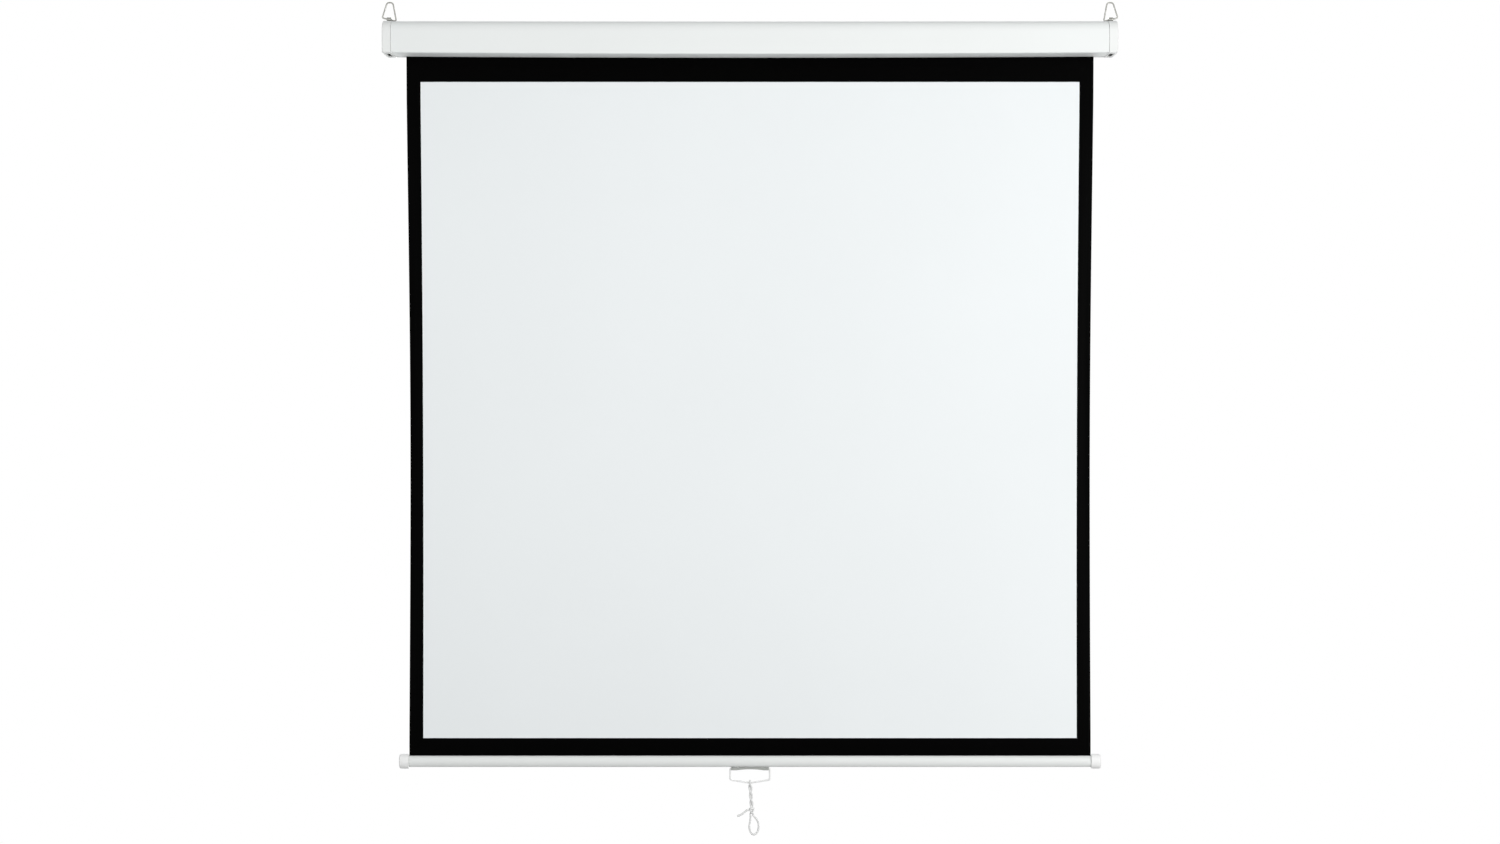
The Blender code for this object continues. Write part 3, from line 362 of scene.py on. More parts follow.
def bent_wire(name, y, corners, radius, closed=False):
    """A wire at one Y, drawn from corner to corner and bent at each ((x, z), bend radius)."""
    places = [Vector(place) for place, _ in corners]
    count = len(places)
    start = (places[-1] + places[0]) / 2 if closed else places[0]
    first = (places[0] if closed else places[1]) - start
    rest()
    bpy.ops.mesh.primitive_circle_add(
        vertices=WIRE_SIDES, radius=radius, fill_type="NGON", location=(start.x, y, start.y),
        rotation=(0, pi / 2 - atan2(first.y, first.x), 0),
    )
    piece = named(name)
    with editing(piece):
        here = start
        for i in range(count) if closed else range(1, count - 1):
            bend = corners[i][1]
            before = (places[i] - places[i - 1]).normalized()
            after = (places[(i + 1) % count] - places[i]).normalized()
            turn = atan2(before.x * after.y - before.y * after.x, before.dot(after))
            reach = bend * tan(abs(turn) / 2)
            stop = places[i] - before * reach
            extrude(stop.x - here.x, 0, stop.y - here.y)
            inward = Vector((-before.y, before.x)) * (bend if turn > 0 else -bend)
            middle = (stop.x + inward.x, y, stop.y + inward.y)
            bpy.ops.mesh.spin(steps=BEND_STEPS, angle=turn, center=middle, axis=(0, 1, 0))
            here = places[i] + after * reach
        end = start if closed else places[-1]
        extrude(end.x - here.x, 0, end.y - here.y)
    if closed:
        remove_faces(piece, lambda places: len(places) == WIRE_SIDES)
        clean(piece)
    smooth(piece, 60)
    return piece


def smooth_route(route, spacing):
    """Points about one spacing apart on a smooth curve through a route's own points."""
    spans = [(b - a).length for a, b in zip(route, route[1:])]
    slopes = [(route[1] - route[0]) / spans[0]]
    for i in range(1, len(route) - 1):
        slopes.append((route[i + 1] - route[i - 1]) / (spans[i - 1] + spans[i]))
    slopes.append((route[-1] - route[-2]) / spans[-1])
    points = []
    for i, span in enumerate(spans):
        count = max(1, round(span / spacing))
        for step in range(count):
            t = step / count
            points.append(
                route[i] * (2 * t**3 - 3 * t**2 + 1)
                + slopes[i] * span * (t**3 - 2 * t**2 + t)
                + route[i + 1] * (3 * t**2 - 2 * t**3)
                + slopes[i + 1] * span * (t**3 - t**2)
            )
    return points + [route[-1]]


def tube(name, points, radii, closed=False):
    """A round tube along points, whose UV map has its turn as U and metres along it as V."""
    sides = sizes().cord_sides
    count = len(points)
    shape = bmesh.new()
    uv = shape.loops.layers.uv.new("along")
    across = None
    rings, distances = [], [0.0]
    for i, point in enumerate(points):
        before = points[i - 1] if closed or i else point
        after = points[(i + 1) % count] if closed or i < count - 1 else point
        along = (after - before).normalized()
        if across is None:
            across = along.orthogonal().normalized()
        across = (across - along * across.dot(along)).normalized()
        other = along.cross(across)
        ring = []
        for side in range(sides):
            turn = 2 * pi * side / sides
            reach = (across * cos(turn) + other * sin(turn)) * radii[i]
            ring.append(shape.verts.new(point + reach))
        rings.append(ring)
        distances.append(distances[-1] + (points[(i + 1) % count] - point).length)
    for i in range(count if closed else count - 1):
        low, high = rings[i], rings[(i + 1) % count]
        start, end = distances[i], distances[i + 1]
        for side in range(sides):
            following = (side + 1) % sides
            face = shape.faces.new((low[side], low[following], high[following], high[side]))
            corners = ((side, start), (side + 1, start), (side + 1, end), (side, end))
            for loop, (turn, run) in zip(face.loops, corners):
                loop[uv].uv = (turn / sides, run)
    if not closed:
        shape.faces.new(rings[0][::-1])
        shape.faces.new(rings[-1])
    bmesh.ops.recalc_face_normals(shape, faces=shape.faces)
    piece = from_shape(name, shape)
    smooth(piece, 60)
    return piece


# Shader tools


class Nodes:
    """A shader tree, with short ways to add nodes and to join them."""

    def __init__(self, tree):
        self.tree = tree

    def feed(self, socket, value):
        """Joins an output to a socket, or gives the socket a value of its own."""
        if isinstance(value, bpy.types.NodeSocket):
            self.tree.links.new(value, socket)
        else:
            socket.default_value = value

    def fill(self, node, **inputs):
        """Feeds inputs by their names, which have _ for a space."""
        for key, value in inputs.items():
            self.feed(node.inputs[key.replace("_", " ")], value)
        return node

    def add(self, kind, settings=(), **inputs):
        node = self.tree.nodes.new("ShaderNode" + kind)
        for key, value in settings:
            setattr(node, key, value)
        return self.fill(node, **inputs)

    def math(self, operation, *values):
        node = self.add("Math", [("operation", operation)])
        for socket, value in zip(node.inputs, values):
            self.feed(socket, value)
        return node.outputs[0]

    def noise(self, vector, scale, detail, stretch=None):
        if stretch:
            vector = self.add("Mapping", Vector=vector, Scale=stretch).outputs["Vector"]
        return self.add("TexNoise", Vector=vector, Scale=scale, Detail=detail).outputs["Fac"]

    def split(self, vector):
        return self.add("SeparateXYZ", Vector=vector).outputs

    def coordinates(self, kind="Object"):
        return self.add("TexCoord").outputs[kind]

    def group(self, name, vector, **values):
        """Adds a shared node group, which is made when it is first needed."""
        tree = bpy.data.node_groups.get(name) or SHARED_GROUPS[name](name)
        return self.add("Group", [("node_tree", tree)], Vector=vector, **values).outputs

    def seen_rays(self):
        """1 for rays that show a thing, directly or mirrored, and 0 for rays that light others."""
        path = self.add("LightPath").outputs
        seen = self.math("MAXIMUM", path["Is Camera Ray"], path["Is Glossy Ray"])
        return self.math("MAXIMUM", seen, path["Is Transmission Ray"])


class Group(Nodes):
    """A node group with a vector and some numbers as its inputs."""

    def __init__(self, name, **numbers):
        super().__init__(bpy.data.node_groups.new(name, "ShaderNodeTree"))
        self.socket("Vector", "INPUT", "NodeSocketVector")
        for key, value in numbers.items():
            self.socket(key.replace("_", " "), "INPUT").default_value = value
        self.given = self.tree.nodes.new("NodeGroupInput").outputs

    def socket(self, label, way, kind="NodeSocketFloat"):
        return self.tree.interface.new_socket(label, in_out=way, socket_type=kind)

    def give(self, **outputs):
        """Ends the group with its outputs."""
        for label in outputs:
            self.socket(label, "OUTPUT")
        self.fill(self.tree.nodes.new("NodeGroupOutput"), **outputs)
        return self.tree


def grain_group(name):
    """Fine surface grain, a broad tone and a broad mask for handling marks."""
    group = Group(name, Grain_scale=900.0, Patch_scale=6.0)
    vector, patch = group.given["Vector"], group.given["Patch scale"]
    grain = group.noise(vector, group.given["Grain scale"], 2.0)
    fine = group.noise(vector, group.math("MULTIPLY", patch, 9.0), 6.0)
    marks = group.math("MULTIPLY", group.math("SUBTRACT", fine, 0.52), 6.0)
    marks = group.math("MINIMUM", group.math("MAXIMUM", marks, 0.0), 1.0)
    return group.give(Grain=grain, Tone=group.noise(vector, patch, 4.0), Marks=marks)


def streak_group(name):
    """Long fine lines, as drawing leaves on wire and rolling on sheet."""
    group = Group(name, Line_scale=900.0)
    vector = group.given["Vector"]
    lines = group.noise(vector, group.given["Line scale"], 3.0, stretch=(0.02, 1.0, 1.0))
    return group.give(Lines=lines, Blotches=group.noise(vector, 160.0, 3.0))


def weave_group(name):
    """A plain weave on a flat map in metres."""
    group = Group(name, Threads_per_metre=1300.0)
    place = group.split(group.given["Vector"])
    turn = group.math("MULTIPLY", group.given["Threads per metre"], pi)
    threads = [group.math("SINE", group.math("MULTIPLY", place[axis], turn)) for axis in "XY"]
    crossing = group.math("MULTIPLY", *threads)
    height = group.math("ADD", group.math("MULTIPLY", crossing, 0.5), 0.5)
    slub = group.noise(group.given["Vector"], 420.0, 2.0, stretch=(0.08, 1.0, 1.0))
    return group.give(Height=height, Slub=slub)


def braid_group(name):
    """A round braid on a map whose U is one turn and whose V is metres, with a mask for the painted
    shade between its strands.
    """
    group = Group(name, Strands=8.0, Pitch=0.0042)
    place = group.split(group.given["Vector"])
    round_it = group.math("MULTIPLY", place["X"], group.given["Strands"])
    along = group.math("MULTIPLY", group.math("DIVIDE", place["Y"], group.given["Pitch"]), 2.0)
    sides = []
    for way in ("ADD", "SUBTRACT"):
        turn = group.math("MULTIPLY", group.math(way, round_it, along), pi)
        sides.append(group.math("ABSOLUTE", group.math("SINE", turn)))
    height = group.math("MULTIPLY", *sides)
    return group.give(Height=height, Shade=group.math("POWER", height, 0.4))


SHARED_GROUPS = {
    "Grain and handling": grain_group,
    "Drawn lines": streak_group,
    "Plain weave": weave_group,
    "Round braid": braid_group,
}


class Finish(Nodes):
    """A material with one Principled BSDF."""

    def __init__(self, name, roughness, specular=0.5, metallic=0.0):
        self.material = bpy.data.materials.new(name)
        self.material.use_nodes = True
        super().__init__(self.material.node_tree)
        self.shade(Roughness=roughness, Metallic=metallic, Specular_IOR_Level=specular)

    def shade(self, **inputs):
        self.fill(self.tree.nodes["Principled BSDF"], **inputs)

    def uv(self, name):
        return self.add("UVMap", [("uv_map", name)]).outputs["UV"]

    def vary(self, color, tone, shades, mark, roughs, relief, strength, depth, stops=(0.3, 0.7)):
        """Lets one value shift the colour, one the roughness and one the relief."""
        ramp = self.add("ValToRGB", Fac=tone)
        for element, stop, shade in zip(ramp.color_ramp.elements, stops, shades):
            element.position = stop
            element.color = (*(min(1.0, channel * shade) for channel in color), 1.0)
        rough = self.add("MapRange", Value=mark, To_Min=roughs[0], To_Max=roughs[1])
        bump = self.add("Bump", Strength=strength, Distance=depth, Height=relief)
        self.shade(
            Base_Color=ramp.outputs["Color"],
            Roughness=rough.outputs["Result"],
            Normal=bump.outputs["Normal"],
        )
        return self.material


def grained(name, color, roughness, specular, grain, patch, shades, rougher, relief, depth):
    """Paint or plastic with a fine grain, a faint tone and marks of handling."""
    finish = Finish(name, roughness, specular)
    scales = {"Grain_scale": grain, "Patch_scale": patch}
    grain = finish.group("Grain and handling", finish.coordinates(), **scales)
    roughs = (roughness - 0.04, roughness + rougher)
    tone, marks = grain["Tone"], grain["Marks"]
    return finish.vary(color, tone, shades, marks, roughs, grain["Grain"], relief, depth)


def paint(name, color, roughness, specular, peel):
    """White paint with a faint orange peel."""
    shades = (0.992, 1.008)
    return grained(name, color, roughness, specular, 700.0, 5.0, shades, 0.08, peel, 0.0002)


def moulded(name, color, roughness, specular):
    """Satin moulded plastic with a fine spark texture."""
    shades = (0.975, 1.01)
    return grained(name, color, roughness, specular, 2200.0, 14.0, shades, 0.14, 0.16, 0.00012)


def metal(name, color, roughness, line_scale, blotch):
    """Drawn or plated metal with fine lines and a blotched tone."""
    finish = Finish(name, roughness, metallic=1.0)
    made = finish.group("Drawn lines", finish.coordinates(), Line_scale=line_scale)
    lines, blotches, shades = made["Lines"], made["Blotches"], (1 - blotch, 1 + blotch)
    roughs = (roughness - 0.08, roughness + 0.14)
    return finish.vary(color, blotches, shades, lines, roughs, lines, 0.18, 0.0001)


def coated(name, color, roughness, specular, patch, shades, roughs, relief, depth):
    """Coated fabric on a fine weave, toned in broad patches, or by its slubs without a patch."""
    finish = Finish(name, roughness, specular)
    weave = finish.group("Plain weave", finish.uv("flat"), Threads_per_metre=1300.0)
    tone, height = weave["Slub"], weave["Height"]
    if patch:
        scales = {"Grain_scale": 1600.0, "Patch_scale": patch}
        tone = finish.group("Grain and handling", finish.coordinates(), **scales)["Tone"]
    return finish.vary(color, tone, shades, weave["Slub"], roughs, height, relief, depth)


def braided(name, color):
    """Soft white braid, with painted shade darker between its strands."""
    finish = Finish(name, 0.82, 0.3)
    finish.shade(Sheen_Weight=0.15)
    braid = finish.group("Round braid", finish.uv("along"), Strands=8.0, Pitch=0.0042)
    shade, height = braid["Shade"], braid["Height"]
    # The cord is white throughout; the 0.78 at the grooves between strands is painted shade.
    details = (shade, (0.78, 1.0), height, (0.92, 0.74), height, 0.45, 0.0004)
    return finish.vary(color, *details, stops=(0.15, 0.75))


# Each finish: its maker, its colour and what the maker takes besides

FINISHES = {
    "White painted steel": (paint, "paint", 0.46, 0.15, 0.10),
    # A glossier copy of the case paint for the bar, whose darker colour is painted shade.
    "Glossy white paint": (paint, "bar_paint", 0.34, 0.45, 0.03),
    "Satin white plastic": (moulded, "cap_plastic", 0.46, 0.2),
    "White moulded plastic": (moulded, "plastic", 0.46, 0.3),
    # Grey for the handle's base: painted shade standing in for the shade under the bar.
    "Grey moulded plastic": (moulded, "grey_plastic", 0.5, 0.3),
    "Natural nylon": (moulded, "nylon", 0.52, 0.3),
    "Zinc plate": (metal, "zinc", 0.34, 1400.0, 0.12),
    "Drawn steel": (metal, "steel", 0.30, 2200.0, 0.06),
    "Matt white screen": (
        coated, "white_sheet", 0.86, 0.25, 1.6, (0.985, 1.01), (0.80, 0.92), 0.10, 0.00008
    ),
    "Matt black screen": (
        coated, "black_sheet", 0.45, 0.012, None, (0.8, 1.4), (0.40, 0.52), 0.16, 0.00008
    ),
    "Black coated back": (
        coated, "black_back", 0.62, 0.22, 2.4, (0.82, 1.25), (0.54, 0.74), 0.30, 0.0001
    ),
    "Braided cord": (braided, "cord"),
}


def look(name):
    """The material of a finish, which is made when it is first needed."""
    make, color, *details = FINISHES[name]
    return bpy.data.materials.get(name) or make(name, getattr(colours(), color), *details)


def pale_floor(reach):
    """A pale floor that fades into the white round it, and is clear from below."""
    finish = Finish("Pale floor", 0.9, 0.05)
    place, seen = finish.coordinates(), finish.seen_rays()
    grain = finish.group("Grain and handling", place, Grain_scale=60.0, Patch_scale=0.6)
    tone = finish.math("ADD", finish.math("MULTIPLY", grain["Tone"], 0.02), 0.99)
    mix = finish.add(
        "Mix", [("data_type", "RGBA")], A=(*colours().floor_bounce, 1.0),
        B=(*colours().floor, 1.0), Factor=finish.math("MULTIPLY", seen, tone),
    )
    distance = finish.add("VectorMath", [("operation", "LENGTH")], Vector=place)
    fade = finish.add(
        "MapRange", [("interpolation_type", "SMOOTHSTEP")], Value=distance.outputs["Value"],
        From_Min=0.4 * reach, From_Max=reach, To_Min=1.0, To_Max=0.0,
    )
    above = finish.math("SUBTRACT", 1.0, finish.add("NewGeometry").outputs["Backfacing"])
    finish.shade(
        Base_Color=mix.outputs["Result"],
        Emission_Color=(1, 1, 1, 1),
        Emission_Strength=finish.math("MULTIPLY", seen, 0.3),
        Alpha=finish.math("MULTIPLY", fade.outputs["Result"], above),
    )
    return finish.material


# The cord's route, as in the frame; the loop's and the tail's points are from the knot's middle

GRIP_LOW, GRIP_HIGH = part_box("pull_handle")
GRIP = Vector((0.0, (GRIP_LOW.y + GRIP_HIGH.y) / 2, GRIP_LOW.z + HANDLE_WIRE))
KNOT_LOW, KNOT_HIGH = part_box("cord_knot")
KNOT = (KNOT_LOW + KNOT_HIGH) / 2
LOOP_ROUTE = (
    (-0.0024, 0, -0.0073),
    (-0.0024, 0, -0.0103),
    (-0.0028, 0, -0.0200),
    (-0.0048, -0.0010, -0.0330),
    (-0.0014, -0.0012, -0.0440),
    (0.0050, 0, -0.0480),
    (0.0112, 0.0012, -0.0425),
    (0.0134, 0.0012, -0.0310),
    (0.0106, 0, -0.0195),
    (0.0024, 0, -0.0103),
    (0.0024, 0, -0.0073),
)
TAIL_ROUTE = (
    (-0.0061, 0, 0),
    (-0.0091, 0, 0),
    (-0.0120, -0.0004, -0.0022),
    (-0.0195, -0.0012, -0.0080),
    (-0.0282, -0.0018, -0.0115),
)
CORD_SPACING = 0.0012
GRIP_ROOM = 0.0004
GRIP_POINTS = 5
STRAND_ROOM = 0.0001
STRAND_TURNS = 1.5
STRAND_STEPS = 36
STRAIGHT_SHARE = 0.06
CLOSING_SHARE = 0.25
INTO_KNOT = 0.002
KNOT_STEPS = 96
KNOT_FLATNESS = 0.62
TAIL_SWELL = (1.12, 1.18, 1.16, 1.05, 0.75)


def from_knot(*route):
    return [KNOT + Vector(point) for point in route]


def strand(start_side):
    """One strand from the top of the grip to the knot, twisted round the other strand."""
    radius = sizes().cord_radius
    wide = sizes().handle_wire + GRIP_ROOM + radius
    close = radius + STRAND_ROOM
    points = []
    for i in range(GRIP_POINTS):
        turn = pi / 2 + start_side * -pi / 2 * i / GRIP_POINTS
        points.append(GRIP + Vector((0, wide * cos(turn), wide * sin(turn))))
    bottom = Vector((KNOT.x, GRIP.y, KNOT_HIGH.z - INTO_KNOT))
    for i in range(STRAND_STEPS + 1):
        share = i / STRAND_STEPS
        spread = max(0.0, 1 - share / CLOSING_SHARE) ** 2
        reach = close + (wide - close) * spread
        twisted = max(0.0, share - STRAIGHT_SHARE) / (1 - STRAIGHT_SHARE)
        angle = start_side * pi / 2 + 2 * pi * STRAND_TURNS * twisted
        aside = Vector((reach * cos(angle), reach * sin(angle), 0))
        points.append(GRIP.lerp(bottom, share) + aside)
    return points


class PULLDOWN_OT_camera(bpy.types.Operator):
    """Sets the camera at the photograph's angle"""

    bl_idname = "pulldown.camera"
    bl_label = "Camera"

    def execute(self, context):
        stage = context.scene.pulldown_stage
        rest()
        bpy.ops.object.camera_add(
            location=(0, -stage.camera_distance, stage.camera_height),
            rotation=(pi / 2 - stage.camera_pitch, 0, 0),
        )
        camera = context.object
        camera.name = "camera"
        camera.data.lens = stage.lens
        camera.data.sensor_width = 36
        camera.data.clip_start = 0.05
        context.scene.camera = camera
        return {"FINISHED"}


class PULLDOWN_OT_cord(bpy.types.Operator):
    """Makes the pull cord: two twisted strands, the knot, the finger loop and the tail"""

    bl_idname = "pulldown.cord"
    bl_label = "Pull cord"

    def execute(self, context):
        knot = self.knot()
        back, front = strand(1), strand(-1)
        loop = smooth_route(from_knot(*LOOP_ROUTE), CORD_SPACING)
        inside = self.through_knot(back, (0, 0.001, 0.001), loop)
        route = back + inside + loop + from_knot((0.0012, 0, -0.0035))
        self.declare("pull_cord_loop", route, "knot", [knot], ("cord_strands", "finger_loop"))
        tail = smooth_route(from_knot(*TAIL_ROUTE), CORD_SPACING)
        inside = self.through_knot(front, (-0.0014, -0.001, 0.001), tail)
        self.declare("pull_cord_tail", front + inside + tail, "bare", [], ("cord_tail",))
        return {"FINISHED"}

    def through_knot(self, before, point, after):
        """The route inside the knot, between what comes in and what goes out."""
        ends = [before[-1], *from_knot(point), after[0]]
        return smooth_route(ends, CORD_SPACING)[1:-1]

    def declare(self, name, points, far_end, with_pieces, replaced):
        radius = sizes().cord_radius
        radii = [radius] * len(points)
        if far_end == "bare":
            for i, factor in enumerate(TAIL_SWELL):
                radii[i - len(TAIL_SWELL)] = radius * factor
        piece = tube(name, points, radii)
        finish_piece(piece, "cord", "white_braided_cord", "Braided cord", *replaced)

    def knot(self):
        """A tight overhand knot, drawn as a trefoil."""
        radius = sizes().cord_radius
        half = (KNOT_HIGH - KNOT_LOW) / 2
        points = []
        for i in range(KNOT_STEPS):
            turn = 2 * pi * i / KNOT_STEPS
            x = (sin(turn) + 2 * sin(2 * turn)) / 3 * (half.x - radius)
            y = -sin(3 * turn) * (half.y - radius) * KNOT_FLATNESS
            z = (cos(turn) - 2 * cos(2 * turn)) / 3 * (half.z - radius)
            points.append(KNOT + Vector((x, y, z)))
        piece = tube("pull_cord_knot", points, [radius] * KNOT_STEPS, closed=True)
        return finish_piece(piece, "cord", "white_braided_cord", "Braided cord", "cord_knot")


SHEET_COLUMNS, SHEET_ROWS = 48, 50
BORDER_SLICES = 3
STILL_SHARE, FREE_SHARE = 0.02, 0.9
SLOW_WAVE, SLOW_START = 3.1, 0.6
QUICK_WAVE, QUICK_START, QUICK_LEAN = 9.7, -2.0, 1.5
TURNS_LEFT = 3
TURN_STEPS = 40
ROLLER_ROOM = 0.0002
TURNS_SHARE = 0.95


class PULLDOWN_OT_sheet(bpy.types.Operator):
    """Makes the hanging sheet: a matt white face, its matt black borders and its back"""

    bl_idname = "pulldown.sheet"
    bl_label = "Sheet"

    def execute(self, context):
        low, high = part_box("sheet_backing")
        face_low, face_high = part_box("viewing_face")
        middle = (face_low.y + high.y) / 2
        width, drop = high.x - low.x, high.z - low.z
        rest()
        bpy.ops.mesh.primitive_grid_add(
            x_subdivisions=SHEET_COLUMNS, y_subdivisions=SHEET_ROWS, size=1,
            location=(0, middle, (low.z + high.z) / 2), rotation=(pi / 2, 0, 0),
        )
        context.object.scale = (width, drop, 1)
        piece = named("screen_sheet")
        for i in range(BORDER_SLICES):
            beyond = i / BORDER_SLICES * (high.x - face_high.x)
            slice_at(piece, X, face_low.x - beyond)
            slice_at(piece, X, face_high.x + beyond)
        slice_at(piece, Z, face_low.z)
        slice_at(piece, Z, face_high.z)
        for finish in ("Matt white screen", "Matt black screen", "Black coated back"):
            piece.data.materials.append(look(finish))
        self.set_faces(piece, face_low, face_high)
        self.map_flat(piece)
        self.wave(piece, low, high, face_high.x)
        border = self.part_below(piece, face_low.z, "sheet_border")
        coats = {"material_offset": 2, "material_offset_rim": 0}
        for part in (piece, border):
            apply_modifier(
                part, "SOLIDIFY", thickness=sizes().sheet_thickness, offset=0, **coats
            )
            smooth(part, 40)
            pick(part)
            bpy.ops.object.material_slot_remove_unused()
        self.check_front(piece)
        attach(piece, "case")
        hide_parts("viewing_face", "sheet_backing")
        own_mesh(piece)
        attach(border, "lower_bar")
        self.turns()
        return {"FINISHED"}

    def part_below(self, piece, height, name):
        """Makes the sheet under a height a piece of its own, which never winds up."""
        level = height + SLACK
        with editing(piece, "FACE", lambda places: max(place.z for place in places) < level):
            bpy.ops.mesh.separate(type="SELECTED")
        border = next(other for other in bpy.context.selected_objects if other is not piece)
        border.name = border.data.name = name
        return border

    def set_faces(self, piece, low, high):
        """Gives the viewing area the white finish and the rest the black one."""
        for face in piece.data.polygons:
            middle = face.center
            white = low.x < middle.x < high.x and low.z < middle.z < high.z
            face.material_index = 0 if white else 1

    def map_flat(self, piece):
        layer = piece.data.uv_layers.new(name="flat")
        for loop in piece.data.loops:
            place = piece.data.vertices[loop.vertex_index].co
            layer.data[loop.index].uv = (place.x, place.z)

    def wave(self, piece, low, high, edge):
        """Between roller and rod the sheet waves, draws in, and its side borders curl back."""
        size = sizes()
        reach = high.x - edge
        for vert in piece.data.vertices:
            place = vert.co
            share = (place.z - low.z) / (high.z - low.z)
            free = min(1.0, max(0.0, (share - STILL_SHARE) / FREE_SHARE))
            hold = max(0.0, sin(pi * free))
            slow = sin(SLOW_WAVE * place.x + SLOW_START)
            quick = sin(QUICK_WAVE * place.x + QUICK_START + QUICK_LEAN * share)
            beyond = max(0.0, abs(place.x) - edge)
            curl = hold * (size.left_curl if place.x < 0 else size.right_curl)
            place.y += hold * size.sheet_wave * 0.5 * (slow + 0.5 * quick)
            place.y += curl * beyond**2 / (2 * reach)
            drawn_in = hold * size.sheet_draw_in * abs(place.x) / edge
            inward = drawn_in + curl**2 * beyond**3 / (6 * reach**2)
            place.x -= copysign(inward, place.x)

    def check_front(self, piece):
        """The white faces must look to the front."""
        for face in piece.data.polygons:
            if face.material_index == 0 and face.normal.y > 0.5:
                raise RuntimeError("the viewing face looks backwards")

    def turns(self):
        """The turns of sheet that stay on the roller, wound in a spiral."""
        low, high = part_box("sheet_turns")
        inner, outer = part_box("roller_tube")[1].y + ROLLER_ROOM, high.y
        axis_z = (low.z + high.z) / 2
        growth = (outer - inner) / TURNS_LEFT * (TURNS_LEFT - 1) / TURNS_LEFT
        shape = bmesh.new()
        rows = []
        for i in range(TURNS_LEFT * TURN_STEPS + 1):
            turn = 2 * pi * i / TURN_STEPS
            radius = inner + growth * i / TURN_STEPS
            place = (radius * cos(turn), axis_z - radius * sin(turn))
            rows.append([shape.verts.new((x, *place)) for x in (low.x, high.x)])
        for first, second in zip(rows, rows[1:]):
            shape.faces.new((first[0], first[1], second[1], second[0]))
        layer = shape.loops.layers.uv.new("flat")
        for face in shape.faces:
            for loop in face.loops:
                place = loop.vert.co
                loop[layer].uv = (place.x, atan2(place.z - axis_z, place.y) * outer)
        piece = from_shape("sheet_on_roller", shape)
        thickness = sizes().sheet_thickness * TURNS_SHARE
        apply_modifier(piece, "SOLIDIFY", thickness=thickness, offset=1)
        clean(piece)
        smooth(piece, 40)
        finish_piece(piece, "roller", "matt_black_screen", "Black coated back", "sheet_turns")


def casing(name, start_x, end_x, low, high, top_radius, bottom_radius):
    """A block along X with the case's rounded section."""
    piece = block(name, (start_x, low.y, low.z), (end_x, high.y, high.z))
    for height, radius, segments in ((high.z, top_radius, 12), (low.z, bottom_radius, 5)):
        level = at(Z, height)
        round_edges(
            piece, lambda ends: level(ends) and not near(ends[0].x, ends[1].x), radius, segments
        )
    return piece


CASE_SLICES = 8
TOP_SAG = 0.2


class PULLDOWN_OT_case(bpy.types.Operator):
    """Makes the folded steel case with its slot and the lips along it"""

    bl_idname = "pulldown.case"
    bl_label = "Case"

    def execute(self, context):
        values = sizes()
        low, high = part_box("case_shell")
        radii = (values.case_top_radius, values.case_bottom_radius)
        piece = casing("case_skin", low.x, high.x, low, high, *radii)
        for end in (low.x, high.x):
            remove_faces(piece, at(X, end))
        sides = (values.slot_front, values.slot_rear)
        for y in sides:
            slice_at(piece, Y, y)
        bottom, front, rear = at(Z, low.z), sides[0] - TOLERANCE, sides[1] + TOLERANCE
        remove_faces(
            piece, lambda places: bottom(places) and all(front < place.y < rear for place in places)
        )
        for y in sides:
            side = at(Y, y)
            with editing(piece, "EDGE", lambda places: bottom(places) and side(places)):
                extrude(0, 0, values.hem_height)
        for step in range(1 - CASE_SLICES, CASE_SLICES):
            slice_at(piece, X, high.x * step / CASE_SLICES)
        wall(piece, values.case_wall)
        self.sag(piece, low, high)
        soften(piece, 0.00018, 2)
        finish_piece(piece, "case", "white_painted_steel", "White painted steel", "case_shell")
        return {"FINISHED"}

    def sag(self, piece, low, high):
        """Lets the case sag between the caps, its open lower side most."""
        for vert in piece.data.vertices:
            share = 1 - (vert.co.x / high.x) ** 2
            depth = TOP_SAG + (1 - TOP_SAG) * (high.z - vert.co.z) / (high.z - low.z)
            vert.co.z -= sizes().case_sag * share * depth


CUT_DEPTH = 0.006
CUT_PAST = 0.002
EYE_HALF_LENGTH, EYE_HALF_WIDTH = 0.0045, 0.0013
RECESS_NEAR, RECESS_FAR = 0.0023, 0.0108
RECESS_HALF_DEPTH = 0.022
SCREW_HOLE_RADIUS = 0.0018
CAP_GAP = 0.0005


